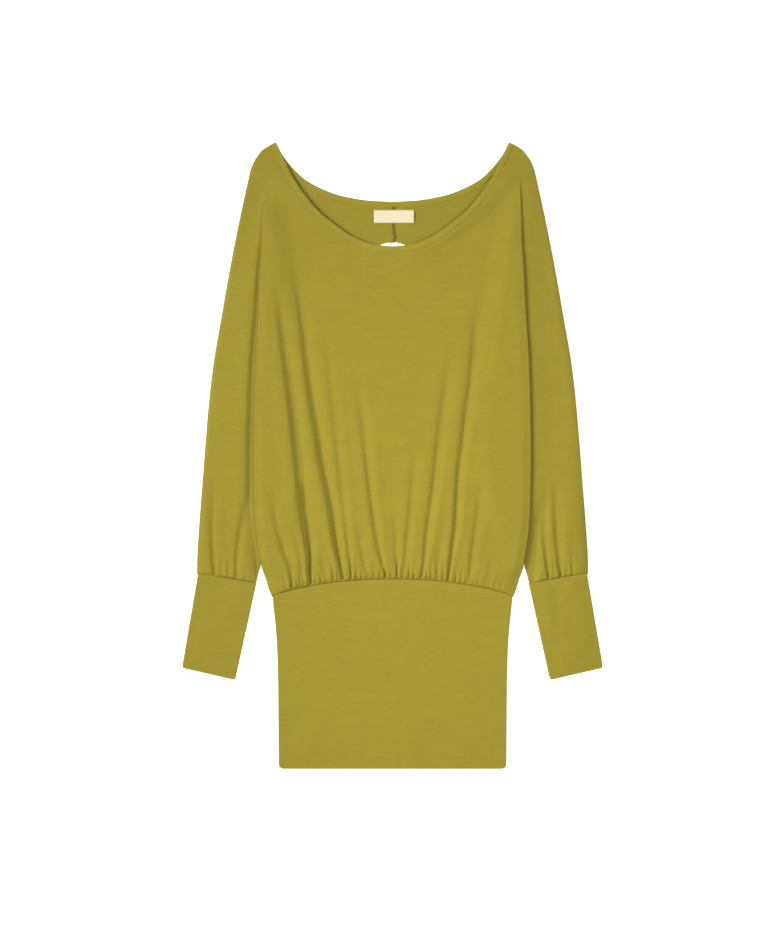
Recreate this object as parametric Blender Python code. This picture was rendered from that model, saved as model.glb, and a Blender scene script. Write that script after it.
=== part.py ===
# A batwing jersey top laid flat on its back: gathered body, long cuffs and a wide hip band.
# Metres, +Z up, +Y from the hem to the neck. Heights are taken from the hem, then centred.

import math

import bmesh
import bpy

# Driving sizes
LENGTH = 0.909
WALL = 0.001
PITCH = 0.0015
BAND_WALL = 0.0016
BINDING_WALL = 0.0012
SEAM_GAP = 0.0003
BINDING_WIDTH = 0.008
NECK_HALF = 0.169
UNDERARM_Y = 0.434
FOLD_START_Y = 0.862
FOLD_FULL_Y = 0.828
BODY_HALF_AT_SEAM = 0.1755
HIP_SEAM_Y = 0.275
HIP_SEAM_DROP = 0.0227
HIP_SEAM_HALF = 0.172
KEYHOLE_Y = 0.720
KEYHOLE_RADIUS = 0.044
KEYHOLE_BINDING_WIDTH = 0.006
LABEL_SIZE = (0.058, 0.019)
LABEL_CENTRE = (0.002, 0.8015)
GATHER_SPACING = 0.0086
CUFF_GATHERS = 9
SLEEVE_DROP = 0.016
SLEEVE_CLEAR = 0.003
SLEEVE_PUFF = 0.0024
SLEEVE_PUFF_EDGE = 0.020
FOLD_SPREAD = 0.0025        # between the fold's columns where it has opened out flat
FOLD_HAIR = 0.0002          # keeps a shallow fold's two faces apart
SLEEVE_END_Y = 0.272        # below it the body lies beside the sleeve
SETTLE_HEIGHT = 0.025
SEAM_OPEN_BELOW = 0.004     # the side seam starts to close this far under the underarm
SEAM_CLOSE_HEIGHT = 0.055
SEAM_SLOPE = 0.0040         # width of the slope down to the closed side seam
SEAM_STEP = 0.0008
SIDE_RISE_START = 0.050     # the body rises to its folded edge over this strip
SIDE_RISE_WIDTH = 0.045
SIDE_LOFT_LOSS = 0.75
FOLD_FLANK = 0.0045         # columns stand this far on each side of a main fold
BACK_FLAT_HALF = 0.055      # the back's rows run level this far from the middle
NECK_STEP = 0.002
BINDING_LIFT = 0.0001

# Heights of the mid-walls of the six layers where the body folds over the sleeve
BACK_Z = WALL / 2
BACK_RETURN_Z = BACK_Z + PITCH
SLEEVE_BACK_Z = BACK_Z + 2 * PITCH
SLEEVE_FRONT_Z = BACK_Z + 3 * PITCH
FRONT_RETURN_Z = BACK_Z + 4 * PITCH
FRONT_EDGE_Z = BACK_Z + 5 * PITCH
FRONT_Z = BACK_Z + PITCH
BEND = PITCH / 2

# Outlines of the right half: height from the hem, distance from the middle
OUTER_EDGE = [
    (0.283, 0.2838), (0.303, 0.2835), (0.361, 0.280), (0.419, 0.2755), (0.477, 0.271),
    (0.535, 0.266), (0.593, 0.259), (0.651, 0.249), (0.709, 0.239), (0.767, 0.228),
    (0.825, 0.216), (0.854, 0.2095), (0.869, 0.206), (0.883, 0.200), (0.890, 0.195),
    (0.898, 0.1885), (0.9054, 0.1765),
]
BODY_EDGE = [
    (0.252, 0.1755), (0.260, 0.179), (0.273, 0.1827), (0.290, 0.1885), (0.303, 0.191),
    (0.342, 0.197), (0.375, 0.1995), (0.454, 0.201), (0.551, 0.1996), (0.612, 0.197),
    (0.671, 0.193), (0.719, 0.191), (0.767, 0.188), (0.803, 0.187), (0.869, 0.184),
]
BAND_EDGE = [
    (0.000, 0.1590), (0.0018, 0.1632), (0.006, 0.165), (0.060, 0.1655), (0.123, 0.166),
    (0.175, 0.1675), (0.210, 0.170), (0.228, 0.172), (0.252, 0.1742),
]
# How far the fold beside the sleeve turns back under the body, by height
FOLD_DEPTH = [
    (0.434, 0.066), (0.500, 0.058), (0.600, 0.045), (0.700, 0.030), (0.800, 0.009),
    (0.827, 0.000),
]
# The body's side seam below the underarm, by height
SIDE_SEAM = [
    (0.252, 0.1690), (0.273, 0.1760), (0.290, 0.1805), (0.303, 0.1790), (0.340, 0.1685),
    (0.370, 0.157), (0.402, 0.1435), (0.427, 0.1345), (0.434, 0.135),
]
# The sleeve's inner seam below the underarm, by height
SLEEVE_SEAM = [
    (0.2688, 0.1982), (0.285, 0.1942), (0.300, 0.1900), (0.340, 0.178), (0.370, 0.166),
    (0.402, 0.1515), (0.427, 0.138), (0.434, 0.135),
]
# Necklines: distance from the middle, height from the hem
FRONT_NECK = [
    (0.000, 0.758), (0.026, 0.7605), (0.056, 0.7715), (0.083, 0.7895), (0.109, 0.811),
    (0.1305, 0.837), (0.146, 0.861), (0.158, 0.886), (0.169, 0.909),
]
BACK_NECK = [
    (0.000, 0.823), (0.035, 0.825), (0.075, 0.832), (0.098, 0.840), (0.125, 0.854),
    (0.142, 0.869), (0.154, 0.883), (0.161, 0.893), (0.169, 0.909),
]
# Rows of the cloth above the underarm: height at the side, height of the front's middle
ROWS = [
    {"side": 0.434, "front": 0.434}, {"side": 0.485, "front": 0.474},
    {"side": 0.535, "front": 0.514}, {"side": 0.580, "front": 0.550},
    {"side": 0.615, "front": 0.578}, {"side": 0.650, "front": 0.604},
    {"side": 0.685, "front": 0.630}, {"side": 0.718, "front": 0.654},
    {"side": 0.750, "front": 0.676}, {"side": 0.780, "front": 0.696},
    {"side": 0.806, "front": 0.712}, {"side": 0.827, "front": 0.724},
    {"side": 0.841, "front": 0.732}, {"side": 0.854, "front": 0.739},
]
BACK_ROWS_BELOW_KEYHOLE = (0.434, 0.515, 0.600)
KEYHOLE_STEPS = 8
BACK_TOP_ROWS = (0.777, 0.785)
THINNEST_ROW = 0.52
DENSE_ROW = 0.80
SIDE_COLUMN = 0.004
SIDE_WAVE = 0.4
BETWEEN_FOLDS = (-0.0975, -0.023, -0.0035, 0.0295, 0.0615, 0.0955, 0.124)
BACK_PARTS = (0.0, 0.12, 0.28, 0.46, 0.64, 0.82, 0.94)
BACK_TOP_PARTS = (0.0, 0.12, 0.20, 0.28, 0.37, 0.46, 0.55, 0.64, 0.70, 0.76, 0.82, 0.88, 0.94)
FRONT_TOP_KEYS = (-0.1095, -0.087, -0.007, 0.0, 0.0065, 0.0095, 0.0125, 0.022, 0.036)
NECK_STATIONS = 20
TOP_ROW_SHARES = (1 / 3, 2 / 3, 1.0)
# Heights above the hip seam of the rows between it and the underarm
GATHERED_ROWS = (0.0, 0.006, 0.014, 0.026)
PLAIN_ROWS = (0.045, 0.075, 0.115, 0.153)
# The band's rows: height at the middle, and how closely each follows the hip seam's curve
BAND_ROWS = [
    {"height": 0.0, "bend": 0.0}, {"height": 0.0018, "bend": 0.0}, {"height": 0.006, "bend": 0.0},
    {"height": 0.060, "bend": 0.0}, {"height": 0.123, "bend": 0.0}, {"height": 0.175, "bend": 0.0},
    {"height": 0.210, "bend": 0.8}, {"height": 0.235, "bend": 0.8}, {"height": 0.275, "bend": 1.0},
]
BAND_PARTS = (-1.0, -0.97, -0.88, -2 / 3, -0.5, -1 / 3, -1 / 6, 0.0,
              1 / 6, 1 / 3, 0.5, 2 / 3, 0.88, 0.97, 1.0)
SLEEVE_GATHERED_ROWS = (0.0, 0.007, 0.018)
SLEEVE_PLAIN_ROWS = (0.028, 0.042, 0.075, 0.115, 0.158)
# How high the front stands over the back, by height above the hip seam
LOFT = [
    (0.0, 0.0012), (0.006, 0.0026), (0.014, 0.0042), (0.026, 0.0056), (0.045, 0.0065),
    (0.075, 0.0065), (0.159, 0.0052), (0.25, 0.0036), (0.35, 0.0020), (0.45, 0.0008),
    (0.55, 0.0003),
]
CUFF_GATHER_HEIGHT = [(0.0, 0.0007), (0.007, 0.0009), (0.018, 0.0004), (0.040, 0.0)]
CUFF_SEAM_LIFT = 0.0007
GATHER_HEIGHT = [(0.0, 0.0008), (0.006, 0.0013), (0.014, 0.0010), (0.026, 0.0004), (0.045, 0.0)]
# The front's main folds: where each starts at the hip seam, where it passes at three
# heights, how high it reaches, its half width and its depth
FOLD_STATIONS = (0.400, 0.550, 0.700)
FOLDS = [
    {"foot": -0.147, "via": (-0.175, -0.176, -0.180), "top": 0.418, "width": 0.007, "depth": 0.0030},
    {"foot": -0.1325, "via": (-0.151, -0.162, -0.173), "top": 0.360, "width": 0.005, "depth": 0.0018},
    {"foot": -0.121, "via": (-0.1335, -0.1485, -0.165), "top": 0.744, "width": 0.008, "depth": 0.0042},
    {"foot": -0.074, "via": (-0.0945, -0.1195, -0.139), "top": 0.768, "width": 0.007, "depth": 0.0036},
    {"foot": -0.060, "via": (-0.073, -0.088, -0.1045), "top": 0.696, "width": 0.006, "depth": 0.0018},
    {"foot": -0.038, "via": (-0.054, -0.068, -0.084), "top": 0.370, "width": 0.005, "depth": 0.0018},
    {"foot": -0.010, "via": (-0.032, -0.050, -0.063), "top": 0.599, "width": 0.007, "depth": 0.0026},
    {"foot": 0.003, "via": (0.0015, 0.002, 0.002), "top": 0.386, "width": 0.005, "depth": 0.0016},
    {"foot": 0.016, "via": (0.0275, 0.038, 0.048), "top": 0.486, "width": 0.006, "depth": 0.0018},
    {"foot": 0.043, "via": (0.059, 0.077, 0.096), "top": 0.648, "width": 0.007, "depth": 0.0030},
    {"foot": 0.080, "via": (0.094, 0.112, 0.1285), "top": 0.720, "width": 0.006, "depth": 0.0034},
    {"foot": 0.111, "via": (0.127, 0.147, 0.158), "top": 0.442, "width": 0.006, "depth": 0.0020},
    {"foot": 0.137, "via": (0.155, 0.170, 0.176), "top": 0.330, "width": 0.005, "depth": 0.0013},
]
# Folds of the sleeves' fronts above the cuffs
SLEEVE_FOLDS = [
    {"foot": -0.259, "head": -0.2585, "top": 0.345, "width": 0.006, "depth": 0.0022},
    {"foot": -0.2255, "head": -0.2124, "top": 0.419, "width": 0.006, "depth": 0.0018},
    {"foot": 0.2255, "head": 0.2100, "top": 0.454, "width": 0.006, "depth": 0.0020},
    {"foot": 0.2430, "head": 0.2350, "top": 0.370, "width": 0.005, "depth": 0.0020},
]
# Corners of the right cuff: inner and outer end of its top and of its lower edge
CUFF_TOP_INNER = (0.1982, 0.2688)
CUFF_TOP_OUTER = (0.2817, 0.2835)
CUFF_LOW_INNER = (0.2290, 0.1290)
CUFF_LOW_OUTER = (0.3050, 0.1465)
# Rings of the cuff: how far down it each lies and how much its sides are drawn in
CUFF_RINGS = [
    {"along": 0.0, "pinch": 0.0}, {"along": 0.2, "pinch": 0.0}, {"along": 0.4, "pinch": 0.0},
    {"along": 0.6, "pinch": 0.0}, {"along": 0.8, "pinch": 0.0}, {"along": 0.95, "pinch": 0.0},
    {"along": 0.985, "pinch": 0.004}, {"along": 1.0, "pinch": 0.03},
]
CUFF_PARTS = (0.02, 0.1, 0.25, 0.42, 0.58, 0.75, 0.9, 0.98)

# Colours
CLOTH_COLOUR = (0.397, 0.323, 0.044, 1.0)
LABEL_COLOUR = (0.90, 0.82, 0.56, 1.0)

# Keys that order the columns of a row: the body's run up to its half width at the seam,
# the fold's follow, and the sleeve's run on from there
EDGE_KEYS = (1.1, 1.2, 1.3)
RETURN_KEY = 1.4
INNER_KEYS = (1.5, 1.6, 1.7)
APEX_KEY = INNER_KEYS[1]
# The sleeve's columns: near the body each has a key and its distance from the body's edge,
# then each has a key and its share of what is left out to the sleeve's edge
SLEEVE_NEAR = ((2.1, -0.020), (2.2, 0.003), (2.3, 0.007), (2.4, 0.011), (2.5, 0.016), (2.6, 0.021))
SLEEVE_FAR = ((2.7, 0.35), (2.8, 0.7), (2.9, 0.9), (3.0, 1.0))
SLEEVE_STEP = 0.0015
SLEEVE_UNFOLDED = 0.0165
SLEEVE_MARGIN = 0.004
SLEEVE_MARGIN_STEP = 0.0005


def smooth(share):
    share = min(1.0, max(0.0, share))
    return share * share * (3 - 2 * share)


def mix(a, b, share):
    return a + (b - a) * share


def curve(table, at):
    # A smooth line through a table's rows that never overshoots them
    if at <= table[0][0]:
        return table[0][1]
    if at >= table[-1][0]:
        return table[-1][1]
    place = max(i for i in range(len(table) - 1) if table[i][0] <= at)

    def slope(i):
        return (table[i + 1][1] - table[i][1]) / (table[i + 1][0] - table[i][0])

    def tangent(i):
        if i == 0 or i == len(table) - 1:
            return slope(min(i, len(table) - 2))
        before, after = slope(i - 1), slope(i)
        if before * after <= 0:
            return 0.0
        return 2 * before * after / (before + after)

    (x0, y0), (x1, y1) = table[place], table[place + 1]
    step = x1 - x0
    t = (at - x0) / step
    return (
        y0 * (1 + 2 * t) * (1 - t) ** 2
        + y1 * t * t * (3 - 2 * t)
        + step * tangent(place) * t * (1 - t) ** 2
        - step * tangent(place + 1) * t * t * (1 - t)
    )


def hip_seam(x):
    return HIP_SEAM_Y - HIP_SEAM_DROP * min(1.05, abs(x) / HIP_SEAM_HALF) ** 2.2


def cuff_seam(x):
    (x0, y0), (x1, y1) = CUFF_TOP_INNER, CUFF_TOP_OUTER
    return y0 + (y1 - y0) * (abs(x) - x0) / (x1 - x0)


# Materials


def cloth_material(name, colour=CLOTH_COLOUR, roughness=0.85):
    material = bpy.data.materials.new(name)
    material.use_nodes = True
    shader = material.node_tree.nodes["Principled BSDF"]
    shader.inputs["Base Color"].default_value = colour
    shader.inputs["Roughness"].default_value = roughness
    shader.inputs["Metallic"].default_value = 0.0
    return material


# Walls: each run is a list of (key, x, y, z) from left to right through the cloth's middle


def wall_points(run, thickness, closed=False):
    # Both faces of the wall at each point of a run, square to the run in its upright plane
    count = len(run)
    faces = []
    for i in range(count):
        if closed:
            before, after = run[i - 1], run[(i + 1) % count]
        else:
            before, after = run[max(0, i - 1)], run[min(count - 1, i + 1)]
        here = run[i]
        normals = []
        for start, end in ((before, here), (here, after)):
            dx, dz = end[1] - start[1], end[3] - start[3]
            long = math.hypot(dx, dz)
            if long > 1e-9:
                normals.append((-dz / long, dx / long))
        nx = sum(n[0] for n in normals) / len(normals)
        nz = sum(n[1] for n in normals) / len(normals)
        square = max(0.5, nx * nx + nz * nz)
        half = thickness / 2 / square
        faces.append(
            (
                (here[1] + nx * half, here[2], here[3] + nz * half),
                (here[1] - nx * half, here[2], here[3] - nz * half),
            )
        )
    return faces


class Cloth:
    # Gathers runs of points, joins them with triangles and closes them into one wall

    def __init__(self, thickness):
        self.thickness = thickness
        self.faces_at = []
        self.triangles = []

    def run(self, points, closed=False):
        first = len(self.faces_at)
        self.faces_at += wall_points(points, self.thickness, closed)
        return [(point[0], first + i) for i, point in enumerate(points)]

    def bridge(self, low, high):
        # Triangles between two runs; left of the middle they lean the other way
        i = j = 0
        alike = len(low) == len(high)
        while i < len(low) - 1 or j < len(high) - 1:
            if i == len(low) - 1 or j == len(high) - 1:
                step_low = i < len(low) - 1
            else:
                a, b = (i, j) if alike else (low[i + 1][0], high[j + 1][0])
                step_low = a < b or (a == b and low[i][0] >= 0)
            if step_low:
                self.triangles.append((low[i][1], low[i + 1][1], high[j][1]))
                i += 1
            else:
                self.triangles.append((low[i][1], high[j + 1][1], high[j][1]))
                j += 1

    def bridge_closed(self, low, high):
        count = len(low)
        for i in range(count):
            k = (i + 1) % count
            self.triangles.append((low[i][1], low[k][1], high[i][1]))
            self.triangles.append((low[k][1], high[k][1], high[i][1]))

    def make(self, name, material):
        points = []
        for upper, lower in self.faces_at:
            points += [upper, lower]
        faces = []
        edges = {}
        for a, b, c in self.triangles:
            faces.append((2 * a, 2 * b, 2 * c))
            faces.append((2 * c + 1, 2 * b + 1, 2 * a + 1))
            for edge in ((a, b), (b, c), (c, a)):
                edges[edge] = True
        for a, b in edges:
            if (b, a) not in edges:
                faces.append((2 * b, 2 * a, 2 * a + 1))
                faces.append((2 * b, 2 * a + 1, 2 * b + 1))
        mesh = bpy.data.meshes.new(name)
        mesh.from_pydata([(x, y - LENGTH / 2, z) for x, y, z in points], [], faces)
        finish_mesh(mesh)
        obj = bpy.data.objects.new(name, mesh)
        obj.data.materials.append(material)
        bpy.context.scene.collection.objects.link(obj)
        return obj


def finish_mesh(mesh):
    shape = bmesh.new()
    shape.from_mesh(mesh)
    bmesh.ops.recalc_face_normals(shape, faces=shape.faces)
    shape.to_mesh(mesh)
    shape.free()
    mesh.shade_smooth()
    mesh.set_sharp_from_angle(angle=math.radians(50))


def mirrored(run):
    return [(-key, -x, y, z) for key, x, y, z in reversed(run)]


# The fold beside each sleeve


def fold_share(y):
    return smooth((FOLD_START_Y - y) / (FOLD_START_Y - FOLD_FULL_Y))


def side_drop(y):
    # Below the sleeve the body's side settles by the thickness of the sleeve
    return 2 * PITCH * (1 - smooth((y - SLEEVE_END_Y) / SETTLE_HEIGHT))


def seam_close(y):
    # How far the side seam has closed below the underarm
    return smooth((UNDERARM_Y - SEAM_OPEN_BELOW - y) / SEAM_CLOSE_HEIGHT)


def fold_points(y, front):
    # The points where a panel turns under at the body's edge and out again as the sleeve
    edge = curve(BODY_EDGE, y)
    share = fold_share(y)
    depth = curve(FOLD_DEPTH, y)
    flat_z = FRONT_Z if front else BACK_Z
    body_z = FRONT_EDGE_Z if front else BACK_Z
    return_z = FRONT_RETURN_Z if front else BACK_RETURN_Z
    sleeve_z = SLEEVE_FRONT_Z if front else SLEEVE_BACK_Z
    inner = edge - depth
    turned = min(1.0, depth / PITCH)
    riser = [mix(body_z, sleeve_z, i / 6) for i in range(7)]
    hair = FOLD_HAIR * (1 - turned)
    folded = [
        (edge - BEND, body_z),
        (edge - hair, mix(riser[1], (body_z + return_z) / 2, turned)),
        (edge - min(BEND, depth / 2), mix(riser[2], return_z, turned)),
        (edge - depth / 2, return_z),
        (inner + min(BEND, depth / 2), mix(riser[4], return_z, turned)),
        (inner + hair, mix(riser[5], (return_z + sleeve_z) / 2, turned)),
        (inner + BEND, sleeve_z),
    ]
    keys = EDGE_KEYS + (RETURN_KEY,) + INNER_KEYS
    points = []
    for i, (key, (x, z)) in enumerate(zip(keys, folded)):
        points.append((key, mix(edge + i * FOLD_SPREAD, x, share), y, mix(flat_z, z, share)))
    return points


def sleeve_z(x, y, side, front):
    # Height of the sleeve's wall, which drops to the floor outside the body's edge
    edge = curve(BODY_EDGE, y)
    flat_z = FRONT_Z if front else BACK_Z
    lift = 2 * PITCH * fold_share(y) * (1 - smooth((x - edge - SLEEVE_CLEAR) / SLEEVE_DROP))
    z = flat_z + lift
    if front:
        inside = smooth((curve(OUTER_EDGE, y) - x) / SLEEVE_PUFF_EDGE)
        z += SLEEVE_PUFF * smooth((x - edge) / SLEEVE_PUFF_EDGE) * inside
        for fold in SLEEVE_FOLDS:
            if fold["foot"] * side > 0:
                foot = cuff_seam(fold["foot"])
                share = (y - foot) / (fold["top"] - foot)
                if share < 1:
                    middle = abs(mix(fold["foot"], fold["head"], share))
                    near = math.exp(-(((x - middle) / fold["width"]) ** 2))
                    z -= fold["depth"] * near * (1 - max(0.0, share) ** 2)
        z = max(z, flat_z + lift)
    return z


def sleeve_places(y, inner):
    # Where the sleeve's columns stand, from its inner fold or seam to the outer edge
    edge = curve(BODY_EDGE, y)
    outer = curve(OUTER_EDGE, y)
    share = fold_share(y)
    points = []
    for i, (key, offset) in enumerate(SLEEVE_NEAR):
        folded = max(edge + offset, inner + (i + 2) * SLEEVE_STEP)
        unfolded = edge + SLEEVE_UNFOLDED + i * SLEEVE_STEP
        farthest = outer - SLEEVE_MARGIN + i * SLEEVE_MARGIN_STEP
        points.append((key, min(mix(unfolded, folded, share), farthest)))
    last = points[-1][1]
    for key, part in SLEEVE_FAR:
        points.append((key, mix(last, outer, part)))
    return points


def sleeve_columns(y, side, front):
    # The sleeve above the underarm
    share = fold_share(y)
    inner = curve(BODY_EDGE, y) - curve(FOLD_DEPTH, y)
    run = []
    for key, x in sleeve_places(y, inner):
        z = sleeve_z(x, y, side, front)
        if share < 1:
            flat_z = FRONT_Z if front else BACK_Z
            level = SLEEVE_FRONT_Z if front else SLEEVE_BACK_Z
            z = min(z, mix(flat_z, level, share)) if not front else z
        run.append((key, x, y, z))
    return run


# The front


def fan(key, y):
    # Where the column that starts at `key` on the hip seam passes at height y
    edge = curve(BODY_EDGE, y)
    guides = [(-BODY_HALF_AT_SEAM, -edge)]
    for fold in FOLDS:
        path = [(0.270, fold["foot"])] + list(zip(FOLD_STATIONS, fold["via"]))
        guides.append((fold["foot"], curve(path, y)))
    guides.append((BODY_HALF_AT_SEAM, edge))
    return curve(guides, key)


def gathers():
    # Every small gather along the hip seam: the troughs between the main folds' feet
    feet = [-BODY_HALF_AT_SEAM] + [fold["foot"] for fold in FOLDS] + [BODY_HALF_AT_SEAM]
    troughs = []
    for left, right in zip(feet, feet[1:]):
        count = max(1, round((right - left) / GATHER_SPACING))
        for i in range(1, count):
            uneven = 0.18 * math.sin(2.4 * len(troughs))
            troughs.append(left + (right - left) * (i + uneven) / count)
    return troughs


def seam_columns():
    # Troughs and the crests between them, with the strength of each
    marks = sorted(
        [(fold["foot"], 1.0) for fold in FOLDS]
        + [(place, 0.75 + 0.25 * math.sin(1.7 * i)) for i, place in enumerate(gathers())]
    )
    columns = []
    for i, (place, strength) in enumerate(marks):
        if i:
            before = marks[i - 1]
            columns.append(((before[0] + place) / 2, 0.7 * (before[1] + strength) / 2))
        columns.append((place, -strength))
    half = BODY_HALF_AT_SEAM
    return (
        [(-half, 0.0), (-half + SIDE_COLUMN, SIDE_WAVE)]
        + [c for c in columns if abs(c[0]) < half - 1.5 * SIDE_COLUMN]
        + [(half - SIDE_COLUMN, SIDE_WAVE), (half, 0.0)]
    )


def plain_columns(y, extra=()):
    # Three columns for each main fold that reaches height y, one for a shorter one, and others
    half = BODY_HALF_AT_SEAM
    keys = {-half, -half + SIDE_COLUMN, half - SIDE_COLUMN, half}
    keys |= {*BETWEEN_FOLDS, *extra}
    for fold in FOLDS:
        keys.add(fold["foot"])
        if fold["top"] > y:
            keys |= {fold["foot"] - FOLD_FLANK, fold["foot"] + FOLD_FLANK}
    return [(key, 0.0) for key in sorted(keys)]


def front_z(x, y, wave):
    edge = curve(BODY_EDGE, y)
    above = y - hip_seam(x)
    reach = edge - curve(FOLD_DEPTH, y) if y > UNDERARM_Y else min(curve(SIDE_SEAM, y), edge)
    side = smooth((abs(x) - (reach - SIDE_RISE_START)) / SIDE_RISE_WIDTH)
    lift = (FRONT_EDGE_Z - FRONT_Z) * fold_share(y) - side_drop(y)
    loft = curve(LOFT, above)
    z = FRONT_Z + lift * side + loft * (1 - SIDE_LOFT_LOSS * side)
    for fold in FOLDS:
        foot = hip_seam(fold["foot"])
        share = max(0.0, (y - foot) / (fold["top"] - foot))
        if share < 1:
            path = [(0.270, fold["foot"])] + list(zip(FOLD_STATIONS, fold["via"]))
            away = (x - curve(path, y)) / fold["width"]
            rise = smooth((above + 0.01) / 0.03)
            near = 1.25 * math.exp(-away * away) - 0.25 * math.exp(-away * away / 6)
            z -= fold["depth"] * rise * (1 - share**2) * near
    z += wave * curve(GATHER_HEIGHT, above)
    lowest = FRONT_Z + lift * side
    return max(z, lowest)


def body_run(columns, height_at, side_y):
    # The front's body from fold to fold, at the height that a row has at each place
    run = []
    for key, wave in columns:
        if abs(key) >= BODY_HALF_AT_SEAM:
            continue
        x = fan(key, side_y)
        for _ in range(6):
            x = fan(key, height_at(x))
        y = height_at(x)
        run.append((key, x, y, front_z(x, y, wave)))
    return run


def row_height(side_y, middle_y, start=0.0, power=2.2):
    edge = curve(BODY_EDGE, side_y)

    def height_at(x):
        share = min(1.0, max(0.0, (abs(x) - start) / (edge - start)))
        return middle_y + (side_y - middle_y) * share**power

    return height_at


def neck_point(neck, share, inset):
    # A point beside the neckline, at a share of its half width, set back into the cloth
    x = share * NECK_HALF
    ahead, behind = min(NECK_HALF, x + NECK_STEP), max(0.0, x - NECK_STEP)
    dx, dy = ahead - behind, curve(neck, ahead) - curve(neck, behind)
    long = math.hypot(dx, dy)
    if share == 0:
        dx, dy, long = 1.0, 0.0, 1.0
    return (x + inset * dy / long, curve(neck, x) - inset * dx / long)


def top_rows(cloth, last_run, neck, z):
    # Rows that pass from the last level row to the neckline, ending on the shoulder
    inset = BINDING_WIDTH + 2 * SEAM_GAP
    end = max(abs(point[1]) for point in last_run)
    corner = neck_point(neck, 1.0, inset)
    last_y = ROWS[-1]["side"]
    rows = []
    for share in TOP_ROW_SHARES:
        edge_y = mix(last_y, corner[1], smooth(share) * 0.3 + share * 0.7)
        edge_x = curve(OUTER_EDGE, edge_y) if share < 1 else corner[0]
        run = []
        for key, x, y, low_z in last_run:
            part = abs(x) / end
            side = 1 if x >= 0 else -1
            nx, ny = neck_point(neck, part, inset)
            px, py = mix(abs(x), nx, share), mix(y, ny, share)
            px += part**6 * (edge_x - mix(end, corner[0], share))
            py += part**6 * (edge_y - mix(last_y, corner[1], share))
            run.append((key, side * px, py, mix(low_z, z, smooth(share * 1.5))))
        rows.append(cloth.run(run))
    return rows


def sleeve_foot_wave(i, part, above, side):
    # The small gathers above the cuff, uneven in height
    height = curve(CUFF_GATHER_HEIGHT, above)
    wave = (1 if i % 2 else -1) * (0.75 + 0.25 * math.sin(1.9 * i + side))
    return height * wave * smooth(min(part, 1 - part) * 8)


def sleeve_rows_below(cloth, side, front):
    # The sleeve between the underarm and the cuff
    gathered_rows = SLEEVE_GATHERED_ROWS if front else ()
    plain_rows = (() if front else SLEEVE_GATHERED_ROWS) + SLEEVE_PLAIN_ROWS
    tall = UNDERARM_Y - CUFF_TOP_INNER[1]
    runs = []
    for above in gathered_rows + plain_rows:
        foot_gap = SEAM_GAP if above == 0 else 0
        run = []
        if above in gathered_rows:
            for i in range(2 * CUFF_GATHERS + 1):
                part = i / (2 * CUFF_GATHERS)
                x = mix(CUFF_TOP_INNER[0], CUFF_TOP_OUTER[0], part)
                for _ in range(6):
                    y = mix(cuff_seam(x) + foot_gap, UNDERARM_Y, above / tall)
                    x = mix(curve(SLEEVE_SEAM, y), curve(OUTER_EDGE, y), part)
                z = sleeve_z(x, y, side, front) + sleeve_foot_wave(i, part, above, side)
                if above == 0:
                    z = mix(z, FRONT_Z + CUFF_SEAM_LIFT, 0.7)
                run.append((mix(APEX_KEY, 3.0, part), x, y, max(z, FRONT_Z)))
        else:
            middle = mix(CUFF_TOP_INNER[1] + foot_gap, UNDERARM_Y, above / tall)
            inner = curve(SLEEVE_SEAM, middle)
            places = [(0, inner), (1, inner + SLEEVE_STEP)] + sleeve_places(middle, inner)
            outer = places[-1][1]
            for key, x in places:
                y = mix(cuff_seam(x) + foot_gap, UNDERARM_Y, above / tall)
                x += curve(OUTER_EDGE, y) - curve(OUTER_EDGE, middle) if x == outer else 0
                share = (x - inner) / (outer - inner)
                run.append((mix(APEX_KEY, 3.0, share), x, y, sleeve_z(x, y, side, front)))
        if side < 0:
            run = mirrored(run)
        runs.append(cloth.run(run))
    return runs


def side_points(height_at, front):
    # The body's edge and the hidden seam behind it, below the underarm
    y = height_at(BODY_HALF_AT_SEAM)
    for _ in range(6):
        y = height_at(curve(BODY_EDGE, y))
    edge = curve(BODY_EDGE, y)
    seam = curve(SIDE_SEAM, y)
    drop = side_drop(y)
    body_z = FRONT_EDGE_Z - drop if front else BACK_Z
    return_z = FRONT_RETURN_Z - drop if front else BACK_RETURN_Z
    seam_z = return_z
    if front:
        seam_z = mix(return_z, BACK_RETURN_Z + PITCH, seam_close(y))
    near = seam + SEAM_STEP + SEAM_SLOPE * seam_close(y)
    middle = (near + edge - BEND) / 2
    places = [
        (EDGE_KEYS[0], edge - BEND, body_z),
        (EDGE_KEYS[1], edge, (body_z + return_z) / 2),
        (EDGE_KEYS[2], edge - BEND, return_z),
        (RETURN_KEY, middle, return_z),
        (INNER_KEYS[0], near, return_z),
        (INNER_KEYS[1], seam, seam_z),
    ]
    return [(key, x, height_at(x), z) for key, x, z in places]


def join_below(cloth, split, body_rows, left_rows, right_rows):
    # Hangs the body and the two sleeves from the row at the underarm
    body_part = [c for c in split if abs(c[0]) <= APEX_KEY]
    left_part = [c for c in split if c[0] <= -APEX_KEY]
    right_part = [c for c in split if c[0] >= APEX_KEY]
    for rows, top in ((body_rows, body_part), (left_rows, left_part), (right_rows, right_part)):
        if rows:
            for low, high in zip(rows, rows[1:] + [top]):
                cloth.bridge(low, high)


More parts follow.
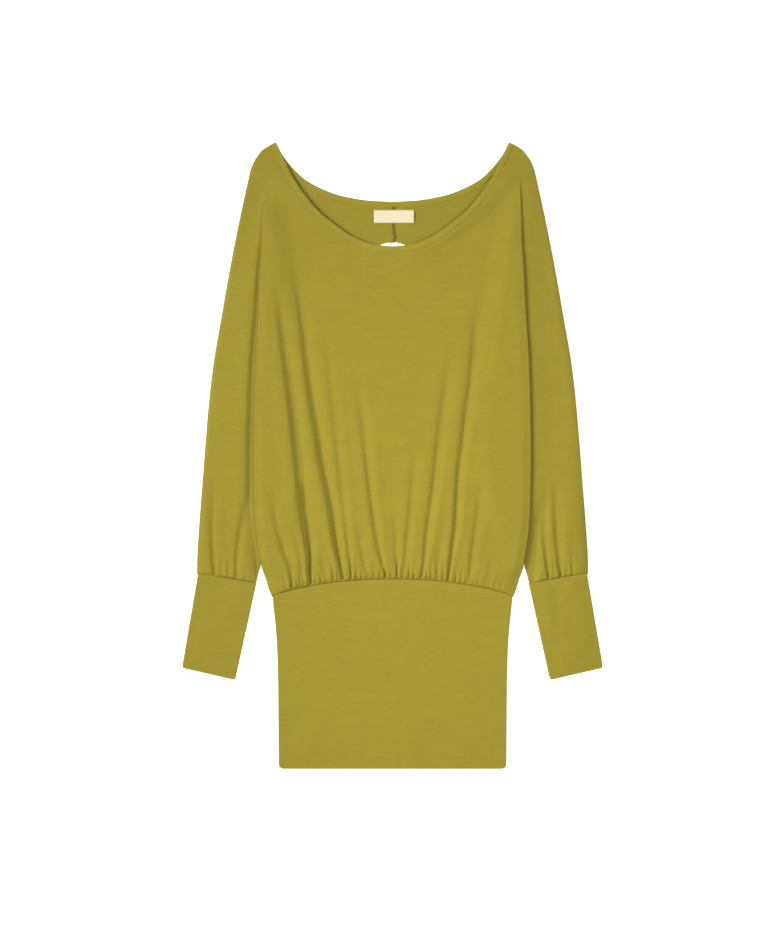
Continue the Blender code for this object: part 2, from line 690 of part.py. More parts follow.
def make_front(material):
    cloth = Cloth(WALL)
    body_rows = []
    tall = UNDERARM_Y - HIP_SEAM_Y
    for above in GATHERED_ROWS + PLAIN_ROWS:
        columns = seam_columns() if above in GATHERED_ROWS else plain_columns(HIP_SEAM_Y)
        share = above / tall

        def height_at(x, share=share, above=above):
            foot = hip_seam(x) + (SEAM_GAP if above == 0 else 0)
            return mix(foot, UNDERARM_Y, share)

        side_y = height_at(BODY_HALF_AT_SEAM)
        run = body_run(columns, height_at, side_y)
        side = side_points(height_at, True)
        body_rows.append(cloth.run(mirrored(side) + run + side))
    upper = []
    for row in ROWS[:4] + ROWS[5:10:2] + ROWS[10:]:
        height_at = row_height(row["side"], row["front"])
        extra = FRONT_TOP_KEYS if row["side"] > DENSE_ROW else ()
        columns = plain_columns(min(row["front"], THINNEST_ROW), extra)
        run = body_run(columns, height_at, row["side"])
        left = fold_points(row["side"], True) + sleeve_columns(row["side"], -1, True)
        right = fold_points(row["side"], True) + sleeve_columns(row["side"], 1, True)
        upper.append(mirrored(left) + run + right)
    rows = [cloth.run(run) for run in upper]
    rows += top_rows(cloth, upper[-1], FRONT_NECK, FRONT_Z)
    for low, high in zip(rows, rows[1:]):
        cloth.bridge(low, high)
    left_rows = sleeve_rows_below(cloth, -1, True)
    right_rows = sleeve_rows_below(cloth, 1, True)
    join_below(cloth, rows[0], body_rows, left_rows, right_rows)
    return cloth.make("front", material)


# The back, in two halves with a round opening between them


def keyhole_rows():
    # Heights of the back's rows at the centre-back seam, some of them across the opening
    radius = KEYHOLE_RADIUS + KEYHOLE_BINDING_WIDTH + SEAM_GAP
    rows = [(y, SEAM_GAP / 2) for y in BACK_ROWS_BELOW_KEYHOLE]
    for step in range(KEYHOLE_STEPS + 1):
        angle = math.pi - math.pi * step / KEYHOLE_STEPS
        start = max(SEAM_GAP / 2, radius * math.sin(angle))
        rows.append((KEYHOLE_Y + radius * math.cos(angle), start))
    rows += [(y, SEAM_GAP / 2) for y in BACK_TOP_ROWS]
    return rows


def back_body(height_at, side_y, start, parts=BACK_PARTS):
    edge = curve(BODY_EDGE, side_y) - BEND
    run = []
    for part in parts:
        x = mix(start, edge, part)
        run.append((part, x, height_at(x), BACK_Z))
    return run


def make_back(side, name, material):
    cloth = Cloth(WALL)
    turn = mirrored if side < 0 else list
    body_rows = []
    tall = UNDERARM_Y - HIP_SEAM_Y
    for above in (0.0,) + GATHERED_ROWS[2:] + PLAIN_ROWS:
        share = above / tall

        def height_at(x, share=share, above=above):
            foot = hip_seam(x) + (SEAM_GAP if above == 0 else 0)
            return mix(foot, UNDERARM_Y, share)

        side_y = height_at(BODY_HALF_AT_SEAM)
        run = back_body(height_at, side_y, SEAM_GAP / 2)
        body_rows.append(cloth.run(turn(run + side_points(height_at, False))))
    upper = []
    for row, (middle_y, start) in zip(ROWS, keyhole_rows()):
        height_at = row_height(row["side"], middle_y, start=BACK_FLAT_HALF, power=2.0)
        parts = BACK_TOP_PARTS if row["side"] > DENSE_ROW else BACK_PARTS
        run = back_body(height_at, row["side"], start, parts)
        run += fold_points(row["side"], False) + sleeve_columns(row["side"], side, False)
        upper.append(turn(run))
    rows = [cloth.run(run) for run in upper]
    rows += top_rows(cloth, upper[-1], BACK_NECK, BACK_Z)
    for low, high in zip(rows, rows[1:]):
        cloth.bridge(low, high)
    sleeves = sleeve_rows_below(cloth, side, False)
    left_rows = sleeves if side < 0 else []
    right_rows = sleeves if side > 0 else []
    join_below(cloth, rows[0], body_rows, left_rows, right_rows)
    return cloth.make(name, material)


# The hip band


def make_band(name, z, material):
    cloth = Cloth(BAND_WALL)
    rows = []
    for row in BAND_ROWS:
        height = row["height"]
        run = []
        for part in BAND_PARTS:
            y = height
            for _ in range(4):
                x = part * curve(BAND_EDGE, y)
                sag = hip_seam(x) - SEAM_GAP - HIP_SEAM_Y
                y = height + row["bend"] * sag
            run.append((part, x, y, z))
        rows.append(cloth.run(run))
    for low, high in zip(rows, rows[1:]):
        cloth.bridge(low, high)
    return cloth.make(name, material)


# The cuffs, each a flattened tube


def make_cuff(side, name, material):
    cloth = Cloth(BAND_WALL)
    low_z = BAND_WALL / 2
    high_z = low_z + BAND_WALL + SEAM_GAP
    half = (high_z - low_z) / 2
    rows = []
    for level in CUFF_RINGS:
        along, pinch = level["along"], level["pinch"]
        inner = [mix(a, b, along) for a, b in zip(CUFF_TOP_INNER, CUFF_LOW_INNER)]
        outer = [mix(a, b, along) for a, b in zip(CUFF_TOP_OUTER, CUFF_LOW_OUTER)]
        run = []
        ring = [(part, high_z) for part in CUFF_PARTS] + [(1.0, low_z + half)]
        ring += [(part, low_z) for part in reversed(CUFF_PARTS)] + [(0.0, low_z + half)]
        for key, (part, z) in enumerate(ring):
            part = mix(pinch, 1 - pinch, part)
            x, y = (mix(a, b, part) for a, b in zip(inner, outer))
            run.append((key, side * x, y, z))
        rows.append(cloth.run(run, closed=True))
    for low, high in zip(rows, rows[1:]):
        cloth.bridge_closed(low, high)
    return cloth.make(name, material)


# Bindings and label


def make_neck_binding(name, neck, z, material):
    # A strip along the neckline; its runs go across the strip, one for each station
    cloth = Cloth(BINDING_WALL)
    stations = [1 - (1 - i / NECK_STATIONS) ** 1.5 for i in range(NECK_STATIONS + 1)]
    places = [(-1, part) for part in reversed(stations[1:])] + [(1, part) for part in stations]
    edges = []
    for inset in (0.0, BINDING_WIDTH / 2, BINDING_WIDTH):
        run = []
        for side, part in places:
            x, y = neck_point(neck, part, inset)
            run.append((side * part, side * x, y, z))
        edges.append(cloth.run(run))
    for low, high in zip(edges, edges[1:]):
        cloth.bridge(low, high)
    return cloth.make(name, material)


def make_keyhole_binding(name, material):
    cloth = Cloth(BINDING_WALL)
    sides = 2 * KEYHOLE_STEPS
    rings = []
    for width in (0.0, KEYHOLE_BINDING_WIDTH):
        radius = KEYHOLE_RADIUS + width
        first = len(cloth.faces_at)
        for i in range(sides):
            angle = 2 * math.pi * i / sides
            x, y = radius * math.sin(angle), KEYHOLE_Y + radius * math.cos(angle)
            z = BINDING_WALL / 2
            cloth.faces_at.append(((x, y, z + BINDING_WALL / 2), (x, y, z - BINDING_WALL / 2)))
        rings.append([(i, first + i) for i in range(sides)])
    cloth.bridge_closed(*rings)
    return cloth.make(name, material)


def make_label(name, material):
    cloth = Cloth(WALL)
    wide, tall = LABEL_SIZE
    x0, y0 = LABEL_CENTRE
    z = BACK_Z + WALL + SEAM_GAP
    rows = []
    for across in (-0.5, 0.5):
        run = [(part, x0 + part * wide, y0 + across * tall, z) for part in (-0.5, 0.0, 0.5)]
        rows.append(cloth.run(run))
    cloth.bridge(*rows)
    return cloth.make(name, material)


def main():
    for obj in list(bpy.data.objects):
        bpy.data.objects.remove(obj)
    make_front(cloth_material("front cloth"))
    make_back(-1, "back_left", cloth_material("back left cloth"))
    make_back(1, "back_right", cloth_material("back right cloth"))
    band_low = BAND_WALL / 2
    make_band("hip_band_back", band_low, cloth_material("band back cloth"))
    make_band("hip_band_front", band_low + BAND_WALL + SEAM_GAP, cloth_material("band front cloth"))
    make_cuff(-1, "cuff_left", cloth_material("left cuff cloth"))
    make_cuff(1, "cuff_right", cloth_material("right cuff cloth"))
    low = BINDING_WALL / 2
    make_neck_binding("neck_binding_back", BACK_NECK, low, cloth_material("back binding cloth"))
    high = low + BINDING_WALL + SEAM_GAP + BINDING_LIFT
    make_neck_binding("neck_binding_front", FRONT_NECK, high, cloth_material("front binding cloth"))
    make_keyhole_binding("keyhole_binding", cloth_material("keyhole binding cloth"))
    make_label("label", cloth_material("label weave", LABEL_COLOUR, 0.7))


main()
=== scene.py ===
import math

import bpy
import numpy as np
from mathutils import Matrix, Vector


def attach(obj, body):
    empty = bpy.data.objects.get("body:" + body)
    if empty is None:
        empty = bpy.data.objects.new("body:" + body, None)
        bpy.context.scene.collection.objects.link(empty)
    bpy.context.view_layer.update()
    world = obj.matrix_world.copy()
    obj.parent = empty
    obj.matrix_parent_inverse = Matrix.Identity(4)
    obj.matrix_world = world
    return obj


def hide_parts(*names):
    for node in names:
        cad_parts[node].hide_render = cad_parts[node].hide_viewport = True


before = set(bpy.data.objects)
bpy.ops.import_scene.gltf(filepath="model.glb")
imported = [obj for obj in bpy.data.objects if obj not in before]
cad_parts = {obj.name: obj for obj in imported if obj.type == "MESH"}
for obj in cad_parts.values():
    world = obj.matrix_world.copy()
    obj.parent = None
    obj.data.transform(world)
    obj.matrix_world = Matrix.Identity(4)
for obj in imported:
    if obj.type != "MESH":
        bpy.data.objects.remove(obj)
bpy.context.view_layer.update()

# The looks of a batwing jersey top that lies flat on its back.
# Lengths are metres. Heights named y run from the hem to the neck, and x from the middle.

garment = {
    "length": 0.909,
    "layerPitch": 0.0012,       # from one layer of cloth to the next where it is folded
    "clothWall": 0.0006,
    "underarmY": 0.434,         # below it the body and the sleeves part
    "foldStartY": {-1: 0.848, 1: 0.866},    # where the body begins to fold over each sleeve
    "foldFullY": {-1: 0.8, 1: 0.826},
    "foldSpread": 0.0012,       # between the fold's columns where it has opened out
    "sideSettle": 0.0045,       # how far the body's side comes down below the sleeve
    "clearOfWall": 0.0007,      # between the middles of two layers that just clear each other
    "bodyHalfAtSeam": 0.1755,
    "neckHalf": 0.169,
    "bindingWidth": 0.008,
    "seamGap": 0.0003,
}
layerZ = {
    "back": 0.0005,
    "backReturn": 0.0017,
    "sleeveBack": 0.0029,
    "sleeveFront": 0.0041,
    "frontReturn": 0.0053,
    "frontEdge": 0.0065,
    "sleeveFrontDeep": 0.0038,  # where the hidden layers end, under the body's side folds
    "frontReturnDeep": 0.0049,
    "frontOverDeep": 0.0057,
    "front": 0.002,
}
# The same layers lower down the garment, where air lies between them
loftedZ = {"sleeveFront": 0.0046, "frontReturn": 0.0068, "frontEdge": 0.0088}
bend = garment["layerPitch"] / 2

# Outlines of the right half: height from the hem, distance from the middle
outerEdge = [
    (0.283, 0.2838), (0.303, 0.2835), (0.361, 0.28), (0.419, 0.2755), (0.477, 0.271),
    (0.535, 0.266), (0.593, 0.259), (0.651, 0.249), (0.709, 0.239), (0.767, 0.228), (0.825, 0.216),
    (0.854, 0.2095), (0.869, 0.206), (0.883, 0.2), (0.89, 0.195), (0.898, 0.1885), (0.9054, 0.1765),
]
bodyEdge = [
    (0.252, 0.1755), (0.26, 0.179), (0.273, 0.1827), (0.29, 0.1885), (0.303, 0.191), (0.342, 0.197),
    (0.375, 0.1995), (0.454, 0.201), (0.551, 0.1996), (0.612, 0.197), (0.671, 0.193),
    (0.719, 0.191), (0.767, 0.188), (0.803, 0.187), (0.869, 0.184),
]
bandEdge = [
    (0, 0.159), (0.0018, 0.1632), (0.006, 0.165), (0.06, 0.1655), (0.123, 0.166), (0.175, 0.1675),
    (0.21, 0.17), (0.228, 0.172), (0.252, 0.1742),
]
foldDepth = [
    (0.434, 0.066), (0.5, 0.058), (0.6, 0.045), (0.7, 0.03), (0.8, 0.009), (0.827, 0),
]
sideSeam = [
    (0.252, 0.169), (0.273, 0.176), (0.29, 0.1805), (0.303, 0.179), (0.34, 0.1685), (0.37, 0.157),
    (0.402, 0.1435), (0.427, 0.1345), (0.434, 0.135),
]
sleeveSeam = [
    (0.2688, 0.1982), (0.285, 0.1942), (0.3, 0.19), (0.34, 0.178), (0.37, 0.166), (0.402, 0.1515),
    (0.427, 0.138), (0.434, 0.135),
]
# Necklines: distance from the middle, height from the hem
frontNeck = [
    (0, 0.758), (0.026, 0.7605), (0.056, 0.7715), (0.083, 0.7895), (0.109, 0.811),
    (0.1305, 0.837), (0.146, 0.861), (0.158, 0.886), (0.169, 0.909),
]
backNeck = [
    (0, 0.823), (0.035, 0.825), (0.075, 0.832), (0.098, 0.84), (0.125, 0.854), (0.142, 0.869),
    (0.154, 0.883), (0.161, 0.893), (0.169, 0.909),
]
# Rows of the cloth above the underarm: heights at the side and at the middle
sideRows = [0.434, 0.485, 0.535, 0.58, 0.615, 0.65, 0.685, 0.718, 0.75, 0.78, 0.806, 0.827,
            0.841, 0.854]
frontRows = [0.434, 0.474, 0.514, 0.55, 0.578, 0.604, 0.63, 0.654, 0.676, 0.696, 0.712, 0.724,
             0.732, 0.739]


# Curves and shares, for whole arrays at a time


def smooth(share):
    share = np.clip(share, 0.0, 1.0)
    return share * share * (3 - 2 * share)


def mix(a, b, share):
    return a + (b - a) * share


def curve(table, at):
    # A smooth line through the table's rows that never overshoots them
    xs, ys = np.array(table, float).T
    steps = np.diff(xs)
    slopes = np.diff(ys) / steps
    before, after = slopes[:-1], slopes[1:]
    alike = before * after > 0
    total = np.where(alike, before + after, 1.0)
    inner = np.where(alike, 2 * before * after / total, 0.0)
    tangents = np.concatenate([slopes[:1], inner, slopes[-1:]])
    at = np.clip(at, xs[0], xs[-1])
    i = np.clip(np.searchsorted(xs, at, side="right") - 1, 0, len(steps) - 1)
    t = (at - xs[i]) / steps[i]
    bow = steps[i] * t * (1 - t) * (tangents[i] * (1 - t) - tangents[i + 1] * t)
    return mix(ys[i], ys[i + 1], t * t * (3 - 2 * t)) + bow


def hill(x, middle, width):
    return np.exp(-(((x - middle) / width) ** 2))


hip = {
    "middleY": 0.275,
    "endDrop": 0.0227,          # how much lower the seam lies at its ends
    "half": 0.172,
}


def hipSeam(x):
    return hip["middleY"] - hip["endDrop"] * np.minimum(1.05, np.abs(x) / hip["half"]) ** 2.2


cuff = {
    "topInner": (0.1982, 0.2688),
    "topOuter": (0.2817, 0.2835),
    "lowInner": (0.229, 0.129),
    "lowOuter": (0.305, 0.1465),
    "wall": 0.0012,
    "lowZ": 0.0008,
    "highZ": 0.0028,
    "puff": 0.0012,
    "gatherDepth": 0.0005,      # of the sleeve's small gathers at the cuff
    "gatherEvery": 0.0069,
    "columns": 60,
    "rows": 50,
}


def cuffSeam(x):
    (x0, y0), (x1, y1) = cuff["topInner"], cuff["topOuter"]
    return y0 + (y1 - y0) * (np.abs(x) - x0) / (x1 - x0)


binding = {
    "wall": 0.0004,
    "lap": 0.0016,              # how far the strips lie over the cloth's edge
    "stations": 170,
    "frontZ": 0.0049,           # the front's neck edge stands over the back
    "rightRise": 0.0016,        # and a little more so on the right
    "backZ": 0.001,
    "crown": 0.0003,
}


def frontNeckZ(x):
    return binding["frontZ"] + binding["rightRise"] * smooth(x / 0.05) * smooth((0.16 - x) / 0.04)


# Cloth meshes: grids of points, joined by their shared rows and given a thin wall


def linked(name, data):
    made = bpy.data.objects.new(name, data)
    bpy.context.scene.collection.objects.link(made)
    return made


class Cloth:
    def __init__(self):
        self.points = []
        self.faces = []
        self.count = 0

    def add(self, grid):
        # Keeps a grid of points (rows, columns, 3) and gives back their numbers
        rows, columns = grid.shape[:2]
        numbers = self.count + np.arange(rows * columns).reshape(rows, columns)
        self.points.append(grid.reshape(-1, 3))
        self.count += rows * columns
        return numbers

    def weave(self, numbers, closed=False):
        if closed:
            numbers = np.concatenate([numbers, numbers[:, :1]], axis=1)
        a, b = numbers[:-1, :-1], numbers[:-1, 1:]
        c, d = numbers[1:, 1:], numbers[1:, :-1]
        self.faces.append(np.stack([a, b, c, d], axis=-1).reshape(-1, 4))

    def join(self, part, row):
        # Adds a grid of points that hangs on a row already there
        self.weave(np.concatenate([self.add(part), row]))

    def make(self, name, wall, material, rounding=0.0):
        points = np.concatenate(self.points)
        points[:, 1] -= garment["length"] / 2
        mesh = bpy.data.meshes.new(name)
        mesh.from_pydata(points.tolist(), [], np.concatenate(self.faces).tolist())
        mesh.materials.append(material)
        mesh.shade_smooth()
        piece = linked(name, mesh)
        solid = piece.modifiers.new("wall", "SOLIDIFY")
        solid.thickness = wall
        solid.offset = 0.0
        if rounding:
            edge = piece.modifiers.new("edge", "BEVEL")
            edge.width = rounding
            edge.segments = 2
            edge.limit_method = "ANGLE"
            edge.angle_limit = math.radians(60)
        return piece


def grid(x, y, z):
    x, y, z = np.broadcast_arrays(x, y, z)
    return np.stack([x, y, z], axis=-1)


def woven(name, points, wall, material, rounding, closed=False):
    # A piece made of one grid of points
    cloth = Cloth()
    cloth.weave(cloth.add(points), closed)
    return cloth.make(name, wall, material, rounding)


def onSide(points, side):
    # A grid made for the right, on the side asked for
    if side > 0:
        return points
    flipped = points[:, ::-1].copy()
    flipped[:, :, 0] *= -1
    return flipped


# The front's relief

frontCloth = {
    "columnSpacing": 0.0024,
    "columnsAtGather": (-0.0013, -0.0006, 0.0, 0.0006, 0.0013),
    "sleeveColumns": 42,
    "hiddenColumns": 4,
    "upperRows": 46,
    "neckRows": 12,
    "gatherSpacing": 0.0084,
    "gatherDepth": 0.0032,
    "gatherWidth": 0.0011,
    "seamTuck": 0.0016,         # how far the cloth goes under the band and the cuffs
    "seamZ": 0.00175,
    "seamRise": 0.006,          # height above the seam where the folds have their full depth
    "edgeRoll": 0.014,          # width over which it comes down to the body's edge
    "foldGain": 1.15,
    "unevenness": 0.0006,
    "seed": 11,
}
# The body's main folds, in millimetres: points (x, y) up each fold, then its half width,
# its depth, how far the cloth stands up to its left and right, and its width on each side as a
# share of the half width
creaseColumns = ("path", "width", "depth", "left", "right", "skew")
frontFolds = [
    ([(-121, 271), (-122, 302), (-126, 342), (-132, 386), (-136, 431), (-140.5, 476), (-147, 537),
     (-152, 576), (-158, 623), (-163, 672), (-166, 708), (-170, 744)], 5.4, 8.4, 1.6, 0.3,
     (0.55, 1.5)),
    ([(-74, 275), (-76, 287), (-83, 324), (-88.5, 364), (-94, 398), (-103, 442), (-109.5, 486),
     (-118, 537), (-123, 576), (-129, 628), (-136, 681), (-142, 715), (-149.5, 768)], 4.2, 5.6, 1.3,
     0.3, (0.55, 1.9)),
    ([(-60, 283), (-66, 342), (-73, 400), (-81, 476), (-88, 550), (-97, 630), (-104, 696)], 3.6, 1.5,
     0.5, 0.6),
    ([(-10, 278), (-20, 320), (-27, 364), (-33, 409), (-38, 457), (-43, 502), (-50, 553),
     (-53, 599)], 3.6, 2.9, 0.8, 1.0),
    ([(-147, 267), (-148, 291), (-157, 315), (-166, 349), (-173, 386), (-177, 418)], 3.6, 2.7, 0.7,
     0.8),
    ([(-129.5, 271), (-134, 310), (-144, 360)], 3.0, 1.7, 0.4, 0.4),
    ([(-38, 280), (-45, 320), (-51, 358)], 3.0, 1.7, 0.4, 0.5),
    ([(6, 287), (5, 331), (1.5, 386)], 3.2, 1.3, 0.3, 0.4),
    ([(80, 278), (85, 313), (91, 353), (93, 386), (96, 431), (102, 475), (107, 520), (112, 550),
     (117, 599), (121, 648), (126, 684), (131, 720)], 3.6, 3.3, 0.8, 0.9),
    ([(43, 280), (49, 331), (54, 371), (60, 409), (66, 464), (73, 520), (79, 563), (85, 611),
     (90, 648)], 4.2, 2.7, 0.5, 1.3),
    ([(16, 278), (20, 320), (25, 364), (30, 431), (33, 486)], 3.4, 1.6, 0.4, 0.5),
    ([(111, 271), (117, 324), (123, 364), (127, 398), (132, 442)], 3.8, 1.7, 0.4, 0.5),
    ([(137, 267), (140, 285), (145, 309)], 3.0, 0.9, 0.2, 0.3),
    ([(-98, 276), (-101, 300), (-105, 322)], 2.6, 1.2, 0.3, 0.3),
    ([(62, 280), (66, 305), (69, 332)], 2.6, 1.1, 0.3, 0.3),
]
# How high the front stands over the back, by height above the hip seam
loft = [
    (0, 0.0004), (0.0015, 0.0022), (0.004, 0.0042), (0.009, 0.0056), (0.018, 0.0066),
    (0.03, 0.0072), (0.045, 0.0075), (0.075, 0.0075), (0.159, 0.0066), (0.25, 0.0054),
    (0.35, 0.0042), (0.45, 0.0028), (0.55, 0.0012),
]
# How each sleeve's front swells near its cuff and above, by its share from the body's edge out
sleevePuff = {
    -1: ([(0, 0), (0.05, 0.0003), (0.13, 0.0022), (0.26, 0.0044), (0.45, 0.005), (0.7, 0.0044),
          (0.9, 0.0024), (1, 0)],
         [(0, 0), (0.05, 0), (0.09, 0.0009), (0.15, 0.0044), (0.2, 0.0058), (0.27, 0.0058),
          (0.45, 0.0046), (0.7, 0.0032), (0.92, 0.0016), (1, 0)]),
    1: ([(0, 0), (0.12, 0.0003), (0.22, 0.0026), (0.36, 0.0044), (0.6, 0.0046), (0.82, 0.0036),
         (0.93, 0.0022), (1, 0)],
        [(0, 0), (0.4, 0.0002), (0.6, 0.0008), (0.85, 0.001), (1, 0)]),
}
# How far past the body's edge each sleeve's front comes down to the floor, by height
sleeveSettle = {
    -1: [(0.285, 0.006), (0.34, 0.008), (0.42, 0.01), (0.8, 0.01)],
    1: [(0.285, 0.005), (0.345, 0.006), (0.42, 0.04), (0.8, 0.04)],
}
sleeveFolds = [
    ([(-259, 283), (-259.5, 300), (-260.5, 320), (-261, 350), (-259, 390), (-256, 430)], 3.8, 4.6, 0,
     0, (0.9, 1.4)),
    ([(-247, 296), (-244, 345), (-241, 385), (-240, 440)], 8.0, 2.0, 0, 0, (1.7, 0.8)),
    ([(-238, 281), (-238.5, 300), (-240, 335)], 2.4, 1.9),
    ([(-248, 282), (-249, 298), (-249, 314)], 2.0, 1.1),
    ([(-227, 278), (-226.5, 300), (-222.5, 335), (-214, 378), (-209, 410), (-208, 450)], 3.4, 3.2),
    ([(-198, 284), (-197.5, 300), (-200, 330)], 2.4, 2.6),
    ([(225.5, 276), (223, 310), (219, 350), (214.5, 397), (209.5, 454), (208, 490)], 3.6, 3.8),
    ([(243, 279), (241, 309), (237.5, 354), (237, 390), (238, 430)], 4.0, 4.6),
    ([(234, 279), (233, 300), (231, 328), (229, 352)], 2.2, 1.7),
    ([(253, 281), (252, 300), (250, 326)], 2.2, 1.3),
    ([(262, 283), (260, 300), (257, 330)], 2.2, 1.7),
    ([(204, 272), (201, 300), (201.5, 330), (204, 362), (205, 400)], 4.6, 2.6),
]


def foldRelief(folds, x, y, fade=2.4, deeper=1.0):
    # Soft troughs along given paths; each is deepest low down and fades upwards
    z = np.zeros(np.broadcast(x, y).shape)
    for row in folds:
        fold = dict(zip(creaseColumns, row))
        path = [(height / 1000, place / 1000) for place, height in fold["path"]]
        foot, top = path[0][0], path[-1][0]
        share = np.clip((y - foot) / (top - foot), 0.0, 1.0)
        strength = (1 - share**fade) * smooth((top - y) / (0.25 * (top - foot)))
        strength = strength * smooth((y - foot + 0.012) / 0.012)
        middle = curve(path, y)
        width = fold["width"] / 1000 * mix(0.5, 1.0, smooth(share * 6)) * (1 + 0.9 * share)
        depth = fold["depth"] / 1000 * deeper
        leftPart, rightPart = fold.get("skew", (0.75, 1.7))
        lopsided = np.where(x < middle, leftPart * width, rightPart * width)
        z = z - depth * strength * hill(x, middle, lopsided)
        for side, ridge in ((-1, fold.get("left", 0)), (1, fold.get("right", 0))):
            z = z + ridge / 1000 * strength * hill(x, middle + side * 2.0 * width, 1.5 * width)
    return z


def seamGathers(chance):
    # Every small gather of the body at the hip seam: foot, length, depth, width and lean
    feet = []
    place = -0.168
    while place < 0.168:
        spacing = frontCloth["gatherSpacing"] * (0.72 if place < -0.125 else 1.0)
        feet.append(place + chance.uniform(-0.0016, 0.0016))
        place += spacing
    gathers = []
    for foot in feet:
        fading = 1.0 if foot < 0.075 else 0.75 if foot < 0.115 else 0.35
        fading = fading * float(smooth((0.171 - abs(foot)) / 0.018))
        gathers.append({
            "foot": foot,
            "long": chance.uniform(0.012, 0.04) * (0.7 + 0.3 * fading),
            "depth": frontCloth["gatherDepth"] * chance.uniform(0.55, 1.3) * fading,
            "width": frontCloth["gatherWidth"] * chance.uniform(0.75, 1.3),
            "lean": 0.18 * foot / 0.17 + chance.uniform(-0.05, 0.05),
        })
    return gathers


bodyGathers = seamGathers(np.random.default_rng(frontCloth["seed"]))


def gatherRelief(gathers, x, above):
    z = np.zeros(np.broadcast(x, above).shape)
    for gather in gathers:
        share = np.clip(above / gather["long"], 0.0, 1.0)
        middle = gather["foot"] + gather["lean"] * above
        width = gather["width"] * (1 + 0.7 * share)
        z = z - gather["depth"] * (1 - share) ** 1.2 * hill(x, middle, width)
        z = z + 0.35 * gather["depth"] * (1 - share) * hill(x, middle + 0.0042, 0.0026)
    return z


def foldShare(y, side):
    start, full = garment["foldStartY"][side], garment["foldFullY"][side]
    return smooth((start - y) / (start - full))


def layerAt(name, y):
    return mix(layerZ[name], loftedZ[name], smooth((0.84 - y) / 0.15))


def edgeLayers(y, front):
    # The body's edge, and the cloth that returns under it
    if front:
        return layerAt("frontEdge", y), layerAt("frontReturn", y)
    return layerZ["back"] + 0 * y, layerZ["backReturn"] + 0 * y


def hiddenShare(x, y, inner):
    # From 0 at the hidden layers' inner end to 1 at the body's edge
    edge = curve(bodyEdge, y)
    return smooth((x - inner) / np.maximum(edge - inner, 0.001))


def sideDrop(y):
    # Below the sleeve the body's side settles by the thickness of the sleeve
    return garment["sideSettle"] * (1 - smooth((y - 0.272) / 0.025))


def frontZ(x, y):
    edge, far = curve(bodyEdge, y), np.abs(x)
    flat, drop, top = layerZ["front"], sideDrop(y), layerAt("frontEdge", y)
    above = y - hipSeam(x)
    low = np.minimum(curve(sideSeam, y), edge)
    reach = np.where(y > garment["underarmY"], edge - curve(foldDepth, y), low)
    side = smooth((far - (reach - 0.032)) / 0.036)
    under = smooth((far - (reach - 0.013)) / 0.01)
    folded = np.where(x < 0, foldShare(y, -1), foldShare(y, 1))
    lift = (top - flat) * folded - drop
    over = mix(layerZ["frontOverDeep"], top, hiddenShare(far, y, reach))
    over = (over - flat) * folded - drop
    # Beside the hip seam it stays clear of its own cloth, turned under it
    turnedUnder = layerAt("frontReturn", y) - drop + garment["clearOfWall"]
    over = mix(over, turnedUnder - flat, drop / garment["sideSettle"])
    roll = smooth((edge - far) / frontCloth["edgeRoll"])
    z = flat + lift * side + curve(loft, above) * (1 - 0.7 * side) * roll
    rise = smooth(above / frontCloth["seamRise"])
    z = z + foldRelief(frontFolds, x, y, deeper=frontCloth["foldGain"]) * rise * mix(0.3, 1.0, roll)
    z = z + gatherRelief(bodyGathers, x, above) * rise
    uneven = frontCloth["unevenness"] * np.sin(x * 41 + 1.2) * np.sin(y * 17 + x * 9)
    z = z + uneven * smooth((y - 0.33) / 0.1)
    z = np.maximum(z, flat + np.maximum(over, 0) * under)
    tuck = mix(0.0012, 0.0034, hill(far, 0.142, 0.013))
    return mix(frontCloth["seamZ"], z, smooth(above / tuck))


def sleeveZ(x, y, side, front):
    # The sleeve drops to the floor just outside the body's edge
    edge = curve(bodyEdge, y)
    outer = curve(outerEdge, y)
    flat = layerZ["front" if front else "back"]
    folded = layerAt("sleeveFront", y) if front else layerZ["sleeveBack"]
    inner = np.where(y > garment["underarmY"], edge - curve(foldDepth, y), curve(sleeveSeam, y))
    if front:
        folded = mix(layerZ["sleeveFrontDeep"], folded, hiddenShare(x, y, inner))
    settle = curve(sleeveSettle[side], y)
    drop = 1 - smooth((x - edge) / (settle if front else np.minimum(settle, 0.012)))
    lift = (folded - flat) * foldShare(y, side) * drop
    z = flat + lift + 0 * x
    if front:
        wide = np.maximum(outer - edge, 0.012)
        share = np.clip((x - edge) / wide, 0, 1)
        low, high = (curve(table, share) for table in sleevePuff[side])
        puff = mix(low, high, smooth((y - 0.335) / 0.08))
        z = z + puff * smooth(wide / 0.06 - 0.1) * smooth((0.845 - y) / 0.12)
        uneven = frontCloth["unevenness"] * np.sin(y * 31 + side)
        z = z + uneven * smooth((outer - x) / 0.02) * smooth((x - edge) / 0.02)
        z = z + foldRelief(sleeveFolds, side * x, y, 1.6)
        z = np.maximum(z, flat + lift)
        z = z - 0.0006 * smooth((0.003 - (outer - x)) / 0.003)
    return z


def joined(places):
    # The distances and the heights of columns that lie side by side
    return [np.concatenate(part, 1) for part in zip(*places)]


